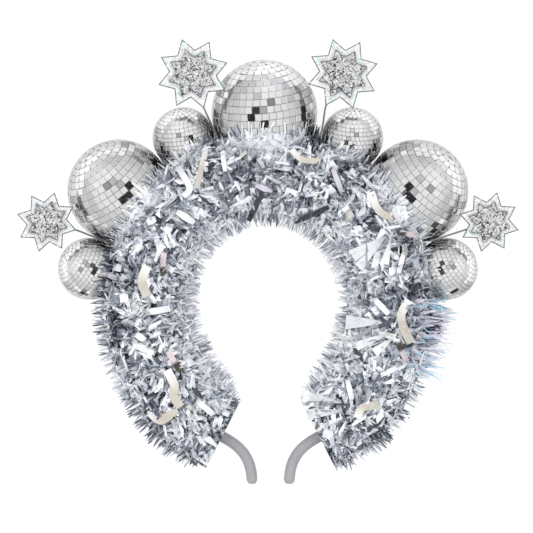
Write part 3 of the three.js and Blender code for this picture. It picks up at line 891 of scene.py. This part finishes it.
def fringeTree(press, ends):
    floats = (*tinsel["lengths"], *tinsel["shares"], "From", "To", "Least Turn", "Most Turn")
    others = {"Line": "Object", "Shapes": "Collection", "Count": "Int", "Seed": "Int", "Finish": "Material"}
    tree, g, ins = geometryTree("tinselFringe", {**{name: "Float" for name in floats}, **others})

    def draw(step, low=0.0, high=1.0, kind="FLOAT"):
        return g.random(low, high, ins["Seed"] + float(step), kind)

    def total(first, *others):
        for other in others:
            first = g.vector("ADD", first, other)
        return first

    dots = g.add("GeometryNodePoints", None, {"Count": ins["Count"]})
    share = draw(1, ins["From"], ins["To"])
    line = g.shapeOf(ins["Line"])
    hub = g.add(
        "GeometryNodeSampleCurve",
        {"mode": "FACTOR", "use_all_curves": True},
        {"Curves": line, "Factor": share},
        "Position",
    )
    axis = g.other(hub, "Tangent")
    out = g.vector("CROSS_PRODUCT", inFront, axis)
    turn = draw(2, ins["Least Turn"], ins["Most Turn"])
    turn = turn - ins["Sideways"] * g.maths("SINE", turn * 2.0)  # more of them towards both edges
    outer = g.maths("COSINE", turn)
    radial = total(g.scaled(out, outer), g.scaled(inFront, g.maths("SINE", turn)))
    around = g.vector("CROSS_PRODUCT", axis, radial)
    fromEnd = (0.5 - g.maths("ABSOLUTE", share - 0.5)) * bandLength - bareTip
    eased = g.maths("SINE", g.maths("DIVIDE", fromEnd, tinsel["taper"], clamp=True) * (math.pi / 2))
    full = eased * (1 - tinsel["endShare"]) + tinsel["endShare"]
    root = total(hub, g.scaled(radial, ins["Root"] * full))
    lockPlace, fineness = tinsel["locks"]
    drift = g.noise(total(hub, g.scaled(radial, lockPlace)), fineness, 1, 0.5, out="Color")
    heading = total(
        g.scaled(radial, ins["Outward"]),
        g.scaled(out, outer * ins["Spread"]),
        g.scaled(axis, draw(3, -1.0, 1.0) * ins["Lean"]),
        g.scaled(around, draw(4, -1.0, 1.0) * ins["Swirl"]),
        g.scaled(g.vector("SUBTRACT", drift, (0.5, 0.5, 0.5)), ins["Clump"]),
    )
    heading = g.vector("NORMALIZE", heading)
    longer = draw(5) ** tinsel["reachPower"] * (ins["Most Reach"] - ins["Least Reach"])
    reach = (longer + ins["Least Reach"]) * full
    tip = total(root, g.scaled(heading, reach))
    nearest = 3.0  # a strip that ends in a ball, or nearly, reaches less far
    for centre, radius in ballPlaces:
        nearest = g.maths("MINIMUM", g.vector("DISTANCE", tip, centre, out="Value") / radius, nearest)
    reach = reach * g.between(nearest, *tinsel["nearBall"], tinsel["pressedShare"], 1.0)
    right = g.between(g.part(hub, "X"), -tinsel["middle"], tinsel["middle"])
    fromCrown = g.maths("ABSOLUTE", share - 0.5) * 2.0
    flanks = g.between(fromCrown, 0.08, 0.35, 0.45, 1) - g.between(fromCrown, 0.68, 0.85)  # painted light: paler sides
    beside = g.between(nearest, 1.0, 1.3, tinsel["paintedBallLight"], 0)  # painted light: paler against a ball, most at the crown
    beside = beside * g.between(fromCrown, 0.22, 0.45, 1, 0.2)
    paintedOuterShade, paintedFlankLight = (
        left + more * right for left, more in (tinsel["paintedOuterShade"], tinsel["paintedFlankLight"])
    )
    # painted shade and light on the strips, by where they stand
    shade = (outer * paintedOuterShade + flanks * paintedFlankLight + beside) * ins["Shading"]
    level = g.vector("MULTIPLY", root, (1, 1, 0))
    for x, y, radius, change in tinsel["paintedPatches"]:
        spot = Vector((widest.x + x * mm, widest.y + y * mm, 0))
        apart = g.vector("DISTANCE", level, spot, out="Value")
        shade = shade + g.between(apart, 0.6 * radius * mm, 1.2 * radius * mm, change, 0)
    flank = g.vector("CROSS_PRODUCT", radial, heading)
    flank = total(g.scaled(flank, ins["Flat"]), g.scaled(around, 1.0 - ins["Flat"]))
    vectors = {
        "root": root,
        "heading": heading,
        "flank": flank,
        "hub": hub,
        "axis": axis,
        "sag": g.scaled(draw(7, (-1, -1, -1), (1, 1, 1), "FLOAT_VECTOR"), ins["Sag"]),
    }
    for name, value in vectors.items():
        dots = g.store(dots, name, value, "FLOAT_VECTOR")
    # tone: random, with the painted shade and light added
    for name, value in {"reach": reach, "tone": draw(6) + shade, "limit": ins["Limit"] * full}.items():
        dots = g.store(dots, name, value)
    names = ("root", "heading", "flank", "sag")
    root, heading, flank, sag = (g.attribute(name, "FLOAT_VECTOR") for name in names)
    dots = g.moved(dots, root)
    axes = {"primary_axis": "Z", "secondary_axis": "X"}
    upright = g.add("FunctionNodeAxesToRotation", axes, {0: heading, 1: flank})
    angle = draw(8, -math.pi, math.pi) * (1.0 - ins["Flat"])
    spin = g.add("FunctionNodeAxisAngleToRotation", None, {"Axis": (0, 0, 1), "Angle": angle})
    facing = g.add("FunctionNodeRotateRotation", {"rotation_space": "LOCAL"}, {0: upright, 1: spin})
    width = draw(9, ins["Least Width"], ins["Most Width"])
    size = g.joined(width, width, g.attribute("reach"))
    picks = {"Collection": ins["Shapes"], "Separate Children": True, "Reset Children": True}
    shapes = g.add("GeometryNodeCollectionInfo", None, picks)
    placed = g.copies(dots, shapes, facing, size, pick=True)
    real = g.add("GeometryNodeRealizeInstances", None, {"Geometry": placed})
    lift = g.attribute("along")
    bent = total(g.add("GeometryNodeInputPosition"), g.scaled(sag, lift * lift))
    settled = kept(g, held(g, bent), press, ends)
    moved = g.moved(real, settled)
    finishTree(g, moved, ins["Finish"])
    return tree


def collectionOf(kind):
    made = bpy.data.collections.new(kind)
    bpy.context.scene.collection.children.link(made)
    for name, (ridge, *rows) in stripShapes[kind].items():
        shape = stripShape(name, ridge, *rows)
        bpy.context.scene.collection.objects.unlink(shape)
        made.objects.link(shape)
    return made


def dropCollection(made):
    for shape in list(made.objects):
        bpy.data.objects.remove(shape)
    bpy.data.collections.remove(made)


def garlandEnds():  # a point on each flat cut, and the direction out of it
    rows = []
    for distance, sign in ((bareTip, -1), (bandLength - bareTip, 1)):
        at, along, _ = placeOnBand(distance)
        rows.append((at, along * sign))
    return rows


def makeCore(finish):
    around, steps = 30, 240
    start, end = bareTip + 0.4 * mm, bandLength - bareTip - 0.4 * mm
    chance = random.Random(tinsel["seed"])
    points = []
    for i in range(steps + 1):
        distance = start + (end - start) * i / steps
        at, along, out = placeOnBand(distance)
        fromEnd = min(distance - start, end - distance) / tinsel["taper"]
        full = tinsel["endShare"] + (1 - tinsel["endShare"]) * min(1, fromEnd)
        for k in range(around):
            angle = math.tau * (k + 0.5 * (i % 2)) / around
            radial = math.cos(angle) * out + math.sin(angle) * inFront
            radius = tinsel["core"] * full * chance.uniform(*tinsel["crumple"])
            spot = at + radial * radius + along * (chance.uniform(-0.5, 0.5) * mm if 0 < i < steps else 0)
            for centre, ball in ballPlaces:
                away = spot - centre
                if away.length < ball + 0.2 * mm:
                    spot = centre + away.normalized() * (ball + 0.2 * mm)
            points.append(spot)
    faces = ringFaces(steps + 1, around) + capFaces(steps + 1, around)
    core = meshObject("tinsel_core", points, faces, finish)
    wear(core, "tinsel_film", "tinsel_garland")


# Broad ribbons that lie on the front of the garland. Points are in the plane of the band, in
# millimetres right of and above the middle of its widest level
ribbons = {
    "radius": 21.8 * mm,  # of the garland, where they lie on it
    "thick": 0.25 * mm,
    "steps": 12,
    "roll": 14,  # degrees by which one may lie askew
    "edge": 0.93,  # of the radius: no ribbon lies farther out
    "films": {  # colour at shares of the length: the film's own colour, with painted shade and sheen where its brightness changes along it
        "cream": (
            (0, (0.8, 0.8, 0.79)),
            (0.3, (0.68, 0.66, 0.61)),
            (0.55, (0.52, 0.48, 0.41)),
            (1, (0.56, 0.53, 0.47)),
        ),
        "white": ((0, (0.58, 0.59, 0.61)), (0.25, (0.82, 0.82, 0.83)), (1, (0.72, 0.73, 0.76))),
        "dark": ((0, (0.03, 0.035, 0.045)), (0.5, (0.05, 0.055, 0.07)), (1, (0.015, 0.015, 0.02))),
        "lilac": ((0, (0.52, 0.5, 0.56)), (0.5, (0.6, 0.57, 0.63)), (1, (0.43, 0.42, 0.49))),
        "banded": (
            (0, (0.66, 0.57, 0.6)),
            (0.55, (0.62, 0.52, 0.56)),
            (0.6, (0.025, 0.02, 0.02)),
            (1, (0.07, 0.06, 0.035)),
        ),
        "pale": ((0, (0.4, 0.42, 0.46)), (0.4, (0.66, 0.67, 0.7)), (1, (0.84, 0.85, 0.87))),
        "stripe": ((0, (0.26, 0.27, 0.3)), (1, (0.34, 0.36, 0.4))),
    },
    "rows": (  # film, widths at the start, middle and end, points
        ("cream", (4.4, 4.4, 4.4), (-59, 15.5), (-61.5, 8), (-58.8, 0.8)),
        ("banded", (2.9, 2.9, 2.9), (-50.8, 22), (-51.3, 16), (-51, 11)),
        ("white", (3, 3.3, 3), (-59.2, -7), (-47.8, -5)),
        ("lilac", (1, 3.2, 1), (-80, 13), (-73.5, 9)),
        ("white", (2.7, 3.4, 2.7), (-64.4, -17.6), (-60, -20.6)),
        ("banded", (2.9, 2.9, 2.9), (-48.7, -26), (-43, -35.6)),
        ("cream", (4.4, 4.4, 4.4), (-49.2, -35), (-45.6, -42.5), (-46, -47.5), (-42.6, -53)),
        ("white", (0.3, 1.4, 0.3), (-63.7, -26), (-55.9, -30)),
        ("dark", (0.6, 3.2, 0.6), (-37.2, -43.5), (-31.8, -49)),
        ("cream", (2.2, 5.6, 2.2), (-59, -56), (-52, -59), (-44, -54.5)),
        ("white", (2.7, 3, 2.7), (-34.8, -50), (-27, -56.5)),
        ("white", (2.4, 3, 2.4), (52, -0.4), (58.8, -7.8)),
        ("dark", (0.6, 3, 0.6), (54.5, -9.5), (60.2, -14.8)),
        ("cream", (4.4, 4, 4.4), (68.9, -1.2), (64.9, -8), (66.4, -15), (69.8, -21.8)),
        ("banded", (2.9, 2.9, 2.9), (67.6, -30.6), (63.6, -21.8)),
        ("dark", (0.6, 3, 0.6), (41.3, -23.5), (46.6, -31.4)),
        ("white", (2.3, 2.6, 2.3), (54.9, -37.5), (62.7, -34)),
        ("dark", (0.5, 2.6, 0.5), (36, -49.4), (37.8, -56.8)),
        ("white", (2.3, 2.6, 2.3), (38.7, -39.7), (40.9, -49.4)),
        ("cream", (4, 4, 4), (43.5, -58.5), (46, -53.5), (53.9, -51.9)),
        ("cream", (2.6, 2.9, 2.6), (11.6, 72.5), (16.5, 67.6), (25.5, 66.8)),
        ("lilac", (2.1, 2.6, 2.1), (31.2, 64.3), (36, 51.5)),
        ("cream", (4, 3.6, 4), (50, 51.5), (54.9, 41.7), (66, 39.2)),
        ("dark", (1, 2.8, 2), (13.2, 36.5), (18.6, 39.5), (29.7, 44.6)),
        ("banded", (2.6, 2.6, 2.6), (72.9, 30.4), (63, 32.5)),
        ("dark", (0.8, 2.5, 0.8), (48.4, 34.3), (53.9, 33.3)),
        ("white", (2, 2.5, 2), (66.2, 22), (63.7, 12.3)),
        ("cream", (2.6, 2.9, 2.6), (-30.4, 72.5), (-34.5, 54.5)),
        ("white", (2.9, 3.2, 2.9), (-43.9, 63.9), (-38.2, 54), (-41.2, 49.5)),
        ("white", (2.5, 3.6, 2.5), (-44.6, 42.3), (-36, 36.8)),
        ("white", (2.8, 4, 2.8), (-59, 36.8), (-54.7, 38.7)),
        ("dark", (2, 2.9, 2.4), (-2.7, 52.9), (-6, 45), (-9.5, 37.7)),
        ("dark", (0.6, 1.6, 0.6), (-33.8, 50.2), (-27.4, 45.1)),
        ("white", (1.9, 2.4, 1.9), (-22.3, 70.6), (-20.9, 61.7)),
        ("lilac", (1.5, 3, 1.5), (-6, 55), (2, 52)),
        ("pale", (0.5, 3.5, 6.5), (57.8, 30.4), (41.2, 20.6)),
        ("pale", (0.5, 2.5, 4.5), (57.8, 30.4), (44.1, 15.2)),
        ("stripe", (1.4, 1.8, 2), (48.5, 29.4), (48.5, 15.2)),
        ("pale", (0.5, 2.5, 3.5), (54.9, 29.4), (51.9, 14.7)),
        ("stripe", (1, 1.6, 2), (57.8, 28.4), (51.9, 20.6)),
        ("pale", (0.5, 2.5, 4.5), (59.8, 29.4), (56.8, 16.7)),
        ("pale", (0.5, 4, 7), (57.3, -11.8), (38.2, -11.8)),
        ("stripe", (1.2, 2, 2.2), (53.9, -11.8), (41.7, -21.1)),
        ("pale", (0.5, 3, 4.5), (58.8, -17.2), (43.1, -23.5)),
        ("stripe", (1, 1.8, 2), (56.8, -19.6), (48, -20.6)),
        ("pale", (0.5, 3, 4.5), (60.8, -19.6), (51.9, -26.5)),
        ("pale", (0.5, 3.5, 6), (36.3, -51), (17.2, -48)),
        ("stripe", (1.2, 1.8, 1.8), (32.3, -51), (18.6, -51.5)),
        ("pale", (0.5, 3.5, 5), (36.3, -54.9), (19.6, -56.8)),
        ("stripe", (1, 1.6, 1.6), (34.3, -55.9), (23, -54.9)),
    ),
}


def ribbonFinish():
    g = material("ribbonFilm")
    # the film's own colour, with painted shade and sheen along its length
    tint = g.carried("tint", "Color")
    place = g.here()
    crease = g.noise(place, 300, 3, 0.6, 0.4)
    # painted shade: grey mixed in along the creases
    paintedCreaseShade = g.mixed(g.between(crease, 0.5, 0.8, 0, 0.25), tint, (0.3, 0.31, 0.34))
    bump = bumped(g, crease, 0.6 * mm, 0.5)
    return surface(g, colour=paintedCreaseShade, roughness=0.2 + 0.3 * crease, metallic=0.15, normal=bump)


def nearestHub(spot):  # the band's centreline where it is nearest
    i = min(range(0, len(linePoints), 8), key=lambda i: (linePoints[i] - spot).length_squared)
    return linePoints[i], lineDistances[i]


def fullAt(distance):  # share of the garland's full radius
    fromEnd = min(distance, bandLength - distance) - bareTip
    share = min(max(fromEnd / tinsel["taper"], 0), 1)
    return tinsel["endShare"] + (1 - tinsel["endShare"]) * math.sin(share * math.pi / 2)


def alongPoints(points, share):  # smooth line through two to four points
    if len(points) == 2:
        return points[0].lerp(points[1], share)
    spans = len(points) - 1
    i = min(int(share * spans), spans - 1)
    t = share * spans - i
    b, c = points[i], points[i + 1]
    a = points[i - 1] if i else b - (c - b)
    d = points[i + 2] if i + 2 < len(points) else c + (c - b)
    flat = 2 * b + (c - a) * t + (2 * a - 5 * b + 4 * c - d) * t**2 + (3 * b - a - 3 * c + d) * t**3
    return flat / 2


# the film's own colour at a share of its length, with its painted shade and sheen
def filmTintAndShade(stops, share):
    for (low, first), (high, second) in zip(stops, stops[1:]):
        if share <= high:
            t = (share - low) / (high - low)
            return [x + (y - x) * t for x, y in zip(first, second)]
    return stops[-1][1]


def makeRibbons():
    chance = random.Random(tinsel["seed"])
    steps = ribbons["steps"]
    points, faces, tints = [], [], []
    for film, widths, *rows in ribbons["rows"]:
        route = [widest + Vector((x, y, 0)) * mm for x, y in rows]
        line = []
        for i in range(steps + 1):
            spot = alongPoints(route, i / steps)
            hub, distance = nearestHub(spot)
            radius = ribbons["radius"] * fullAt(distance)
            offset = min((spot - hub).length, ribbons["edge"] * radius)
            line.append(spot + inFront * math.sqrt(radius**2 - offset**2))
        roll = math.radians(chance.uniform(-ribbons["roll"], ribbons["roll"]))
        start = len(points)
        for i, spot in enumerate(line):
            ahead = (line[min(i + 1, steps)] - line[max(i - 1, 0)]).normalized()
            across = ahead.cross(inFront).normalized()
            up = across.cross(ahead)
            across = math.cos(roll) * across + math.sin(roll) * up
            up = across.cross(ahead)
            share = i / steps
            low, high = (widths[0], widths[1]) if share < 0.5 else (widths[1], widths[2])
            width = low + (high - low) * (2 * share % 1 if share < 1 else 1)
            half = across * (width * mm / 2)
            thick = up * ribbons["thick"]
            points += [spot - half, spot + half, spot + half + thick, spot - half + thick]
            tints += [filmTintAndShade(ribbons["films"][film], share)] * 4
        faces += ringFaces(steps + 1, 4, start)
        last = start + 4 * steps
        faces += [(start + 3, start + 2, start + 1, start), (last, last + 1, last + 2, last + 3)]
    piece = meshObject("tinsel_ribbons", points, faces, ribbonFinish())
    colours = piece.data.attributes.new("tint", "FLOAT_COLOR", "POINT")
    colours.data.foreach_set("color", [part for tint in tints for part in (*tint, 1)])
    cleanUp = bmesh.new()
    cleanUp.from_mesh(piece.data)
    bmesh.ops.recalc_face_normals(cleanUp, faces=cleanUp.faces)
    cleanUp.to_mesh(piece.data)
    cleanUp.free()
    wear(piece, "tinsel_film", "tinsel_garland")


def shareAtHeight(height):  # share of the band's length at which its right leg is so high
    half = len(linePoints) // 2
    i = min(range(half, len(linePoints)), key=lambda i: abs(linePoints[i].y - widest.y - height))
    return lineDistances[i] / bandLength


def makeTinsel():
    tree = fringeTree(pressTree(), garlandEnds())
    shapes = {kind: collectionOf(kind) for kind in stripShapes}
    film, foil = filmFinish(), foilFinish()
    finishes = {"spikes": film, "leaves": film, "foils": foil, "blades": film}
    nextStretch, nextKind, toTuft = tinsel["seedSteps"]
    least, most = bareTip / bandLength, 1 - bareTip / bandLength
    allRound = {"Line": centreline, "Least Turn": 0.0, "Most Turn": math.tau}
    for number, stretch in enumerate(tinsel["stretches"]):
        for step, (kind, finish) in enumerate(finishes.items()):
            settings = {
                **allRound,
                **stripSettings(kind),
                "From": least + (most - least) * number / 4,
                "To": least + (most - least) * (number + 1) / 4,
                "Seed": tinsel["seed"] + nextStretch * number + nextKind * step,
                "Shapes": shapes[kind],
                "Finish": finish,
            }
            piece = grown(f"tinsel_{kind}_{stretch}", tree, settings)
            wear(piece, "tinsel_film", "tinsel_garland")
    settings = {
        **allRound,
        **stripSettings("tuft"),
        "From": shareAtHeight(tinsel["tuft"][0]),
        "To": shareAtHeight(tinsel["tuft"][1]),
        "Least Turn": -1.0,
        "Most Turn": 1.0,
        "Seed": tinsel["seed"] + toTuft,
        "Shapes": shapes["spikes"],
        "Finish": iridescentFinish(),
    }
    tuft = grown("tinsel_tuft", tree, settings)
    wear(tuft, "tinsel_film", "tinsel_garland")
    for made in shapes.values():
        dropCollection(made)
    makeRibbons()
    makeCore(coreFinish())
    print("tinsel: film on a core")


# Stars: two layers of glitter sheet, each with a plain grey rim, and loose flakes on top
stars = {
    "points": 8,
    "notch": 0.66,
    "rim": 0.5 * mm,
    "places": ("upper_left", "upper_right", "lower_left", "lower_right"),
    "layers": {  # slot, flakes for each square millimetre, their least and most size, and their tilt
        "back": ("white_glitter", 1.1, 0.35 * mm, 0.75 * mm, 26),
        "front": ("silver_glitter", 1.9, 0.5 * mm, 1.15 * mm, 34),
    },
    "seeds": (100, 7, 13),  # first, from layer to layer, and for each letter of the place
}


def glitterFinish(name, low, high, speckle, metallic):
    g = material(name)
    place = g.here()
    settings = {"feature": "F1"}
    colours = g.add("ShaderNodeTexVoronoi", settings, {"Vector": place, "Scale": 1500.0}, "Color")
    split = g.add("ShaderNodeSeparateColor", None, {0: colours}, 0)
    other = g.other(split, "Green")
    colour = g.ramp(split, (0.0, low), (0.18, low), (0.3, high), (1.0, high))
    tinted = g.mixed(g.between(other, 0.5, 1.0, 0, speckle), colour, colours)
    bump = bumped(g, split, 0.2 * mm, 0.7)
    return surface(g, colour=tinted, roughness=0.25 + 0.3 * other, metallic=metallic, normal=bump)


def flakeFinish(name, stops, metallic):
    g = material(name)
    tone = g.carried("tone")
    place = g.here()
    haze = g.noise(place, 700, 2, 0.5)
    colour = g.ramp(tone, *stops)
    return surface(g, colour=colour, roughness=0.15 + 0.25 * haze, metallic=metallic)


def starOutline(centre, tip, radius, inset, z):
    # Corners of the star, drawn in by an even inset
    corners = []
    for i in range(2 * stars["points"]):
        reach = radius * (stars["notch"] if i % 2 else 1)
        angle = tip + math.pi * i / stars["points"]
        corners.append(Vector((math.cos(angle) * reach, math.sin(angle) * reach, 0)))
    drawn = []
    for i, corner in enumerate(corners):
        before, after = corners[i - 1], corners[(i + 1) % len(corners)]
        normals = []
        for a, b in ((before, corner), (corner, after)):
            edge = (b - a).normalized()
            normals.append(Vector((-edge.y, edge.x, 0)))
        bisector = (normals[0] + normals[1]).normalized()
        drawn.append(corner + bisector * (inset / max(0.3, bisector.dot(normals[0]))))
    return [centre + point + Vector((0, 0, z)) for point in drawn]


def starLayer(name, centre, tip, radius, low, high, finishes):
    rim = stars["rim"]
    levels = [  # inset from the outline, and height
        (0.15 * mm, low),
        (0, low + 0.15 * mm),
        (0, high - 0.3 * mm),
        (0.2 * mm, high - 0.12 * mm),
        (rim, high - 0.12 * mm),
        (rim + 0.06 * mm, high),
    ]
    loops = [starOutline(centre, tip, radius, inset, z) for inset, z in levels]
    count = 2 * stars["points"]
    points = [point for loop in loops for point in loop]
    points += [centre + Vector((0, 0, low)), centre + Vector((0, 0, high))]
    faces = ringFaces(len(loops), count)
    top = (len(loops) - 1) * count
    for k in range(count):
        faces.append(((k + 1) % count, k, len(points) - 2))
        faces.append((top + k, top + (k + 1) % count, len(points) - 1))
    piece = meshObject(name, points, faces)
    for finish in finishes:
        piece.data.materials.append(finish)
    for face in piece.data.polygons:  # all below the very top is rim
        lowest = min(piece.data.vertices[v].co.z for v in face.vertices)
        face.material_index = int(lowest > high - 0.11 * mm)
    return piece


def flakeShape():  # thin square of glitter film
    rims = [(0.5, 0), (0.5, 0.12)]
    points = [(x * r, y * r, z) for r, z in rims for x, y in squareCorners]
    return meshObject("flakeShape", points, capFaces(2, 4) + ringFaces(2, 4))


def flakeTree():
    sizes = {
        "Flake": "Object",
        "Density": "Float",
        "Least Size": "Float",
        "Most Size": "Float",
        "Tilt": "Float",
        "Level": "Float",
        "Seed": "Int",
        "Finish": "Material",
    }
    tree, g, ins = geometryTree("glitterFlakes", sizes)
    high = g.part(g.add("GeometryNodeInputPosition"), "Z")
    top = g.maths("GREATER_THAN", high, ins["Level"])
    dots = g.add(
        "GeometryNodeDistributePointsOnFaces",
        {"distribute_method": "RANDOM"},
        {"Mesh": ins["Geometry"], "Selection": top, "Density": ins["Density"], "Seed": ins["Seed"]},
    )
    dots = g.store(dots, "tone", g.random(0.0, 1.0, ins["Seed"] + 1.0))
    tilt = g.scaled(g.random((-1, -1, -6), (1, 1, 6), ins["Seed"] + 2.0, "FLOAT_VECTOR"), ins["Tilt"])
    facing = g.add("FunctionNodeEulerToRotation", None, {0: tilt})
    size = g.random(ins["Least Size"], ins["Most Size"], ins["Seed"] + 3.0)
    shape = g.shapeOf(ins["Flake"])
    placed = g.copies(dots, shape, facing, size)
    finishTree(g, placed, ins["Finish"])
    return tree


def makeStars():
    tree = flakeTree()
    flake = flakeShape()
    rim = grainedFinish("starRim", (1800, 3, 0.6), (0.12, 0.12, 0.125), (0.2, 0.2, 0.205), 0.05, 0.6)
    finishes = {
        "back": glitterFinish("whiteGlitter", (0.6, 0.6, 0.63), (0.82, 0.81, 0.83), 0.45, 0.15),
        "front": glitterFinish("silverGlitter", (0.14, 0.14, 0.15), (0.76, 0.76, 0.77), 0.0, 0.8),
    }
    flakes = {
        "back": flakeFinish(
            "whiteFlakes",
            (
                (0.0, (0.7, 0.7, 0.72)),
                (0.5, (0.88, 0.88, 0.89)),
                (0.6, (0.85, 0.5, 0.62)),
                (0.72, (0.45, 0.6, 0.85)),
                (0.82, (0.86, 0.8, 0.45)),
                (0.9, (0.5, 0.8, 0.78)),
                (1.0, (0.9, 0.9, 0.9)),
            ),
            0.35,
        ),
        "front": flakeFinish(
            "silverFlakes",
            (
                (0.0, (0.02, 0.02, 0.022)),
                (0.14, (0.12, 0.12, 0.125)),
                (0.3, (0.45, 0.45, 0.46)),
                (0.6, (0.75, 0.75, 0.76)),
                (1.0, (1, 1, 1)),
            ),
            0.95,
        ),
    }
    firstSeed, nextLayer, eachLetter = stars["seeds"]
    for where in stars["places"]:
        low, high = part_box("star_back_" + where)
        centre = Vector(((low.x + high.x) / 2, (low.y + high.y) / 2, 0))
        corners = [vertex.co - centre for vertex in frame["nodes"]["star_back_" + where].data.vertices]
        far = max(corners, key=lambda corner: corner.xy.length)
        tip = math.atan2(far.y, far.x)
        for number, (layer, (slot, flakesEach, least, most, tilt)) in enumerate(stars["layers"].items()):
            node = f"star_{layer}_{where}"
            low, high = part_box(node)
            radius = max((vertex.co.xy - centre.xy).length for vertex in frame["nodes"][node].data.vertices)
            sheet = starLayer(node + "_sheet", centre, tip, radius, low.z, high.z, [rim, finishes[layer]])
            settings = {
                "Flake": flake,
                "Density": flakesEach / mm**2,
                "Least Size": least,
                "Most Size": most,
                "Tilt": math.radians(tilt),
                "Level": high.z - 0.05 * mm,
                "Seed": firstSeed + nextLayer * number + eachLetter * len(where),
                "Finish": flakes[layer],
            }
            glitter = grown(node + "_flakes", tree, settings, host=sheet.data.copy())
            wear(sheet, slot, node)
            wear(glitter, slot)
    bpy.data.objects.remove(flake)
    print("stars: four, in two layers each")


def dressStems():
    grain, dark, pale = (400, 3, 0.6), (0.2, 0.2, 0.205), (0.34, 0.34, 0.345)
    made = grainedFinish("stemWire", grain, dark, pale, 0.04, 0.3, 0.2, metallic=0.9)
    for name, node in frame["nodes"].items():
        if name.startswith("star_stem_"):
            node.data.materials.clear()
            node.data.materials.append(made)
    print("stems: wire")


# Studio: pale floor, soft lights, and a long lens looking straight down as in the photo
studio = {
    "scale": 0.49 * mm,  # one pixel of the photo, at the height of the band
    "photoMiddle": (266.5, 266.5),
    "axisPixel": 268,  # column of the headband's centre line
    "widestPixel": 298,  # row at which the band is widest
    "framePixels": 533,
    "distance": 4.0,
    "sensor": 36.0,
    "floorColour": (0.24, 0.24, 0.24),
    "floorGlow": 0.83,
    "lamps": (  # name, place, target, sides, power
        ("keyLight", (-0.3, 1.1, 1.5), (0, 0.03, 0.02), (2.4, 2.0), 15),
        ("fillLight", (1.3, -0.5, 1.4), (0, 0, 0.02), (2.0, 1.8), 9),
        ("topLight", (-1.2, -0.6, 1.5), (0, 0, 0.02), (2.0, 1.8), 9),
    ),
}


def makeCamera():
    across = studio["framePixels"] * studio["scale"]
    x = widest.x + (studio["photoMiddle"][0] - studio["axisPixel"]) * studio["scale"]
    y = widest.y + (studio["widestPixel"] - studio["photoMiddle"][1]) * studio["scale"]
    lens = bpy.data.cameras.new("camera")
    lens.sensor_width = studio["sensor"]
    lens.lens = studio["sensor"] * studio["distance"] / across
    lens.clip_start = 0.05
    camera = newObject("camera", lens)
    camera.location = (x, y, widest.z + studio["distance"])
    bpy.context.scene.camera = camera


def areaLight(name, place, target, size, power):
    light = bpy.data.lights.new(name, "AREA")
    light.shape = "RECTANGLE"
    light.size, light.size_y = size
    light.energy = power
    lamp = newObject(name, light)
    lamp.location = place
    lamp.visible_glossy = False  # mirrors show the even studio, not the lamps
    lamp.rotation_euler = (Vector(target) - Vector(place)).to_track_quat("-Z", "Y").to_euler()


def makeStudio():
    floor = meshObject("floor", [(-3, -3, 0), (3, -3, 0), (3, 3, 0), (-3, 3, 0)], [(0, 1, 2, 3)])
    g = material("paleFloor")
    glowing = {"glow": (1, 1, 1), "glowStrength": studio["floorGlow"]}
    floor.data.materials.append(surface(g, colour=studio["floorColour"], roughness=0.8, **glowing))
    world = bpy.data.worlds.new("studioAir")
    world.use_nodes = True
    world.node_tree.nodes.clear()
    g = Graph(world.node_tree)
    sky = g.add("ShaderNodeTexCoord", out="Generated")
    height = g.part(sky, "Z")
    colour = g.ramp(
        height,
        (0.0, (0.85, 0.86, 0.88)),
        (0.18, (0.6, 0.61, 0.64)),
        (0.45, (0.82, 0.83, 0.85)),
        (0.8, (1, 1, 1)),
    )
    air = g.add("ShaderNodeBackground", None, {"Color": colour, "Strength": 1.0})
    g.add("ShaderNodeOutputWorld", None, {"Surface": air})
    bpy.context.scene.world = world
    for lamp in studio["lamps"]:
        areaLight(*lamp)
    bpy.context.scene.view_settings.view_transform = "Standard"
    print("studio: floor, air and lamps")


makeCamera()
makeStudio()
makeBalls()
makeBand()
makeTinsel()
makeStars()
dressStems()
bpy.data.objects.remove(centreline)
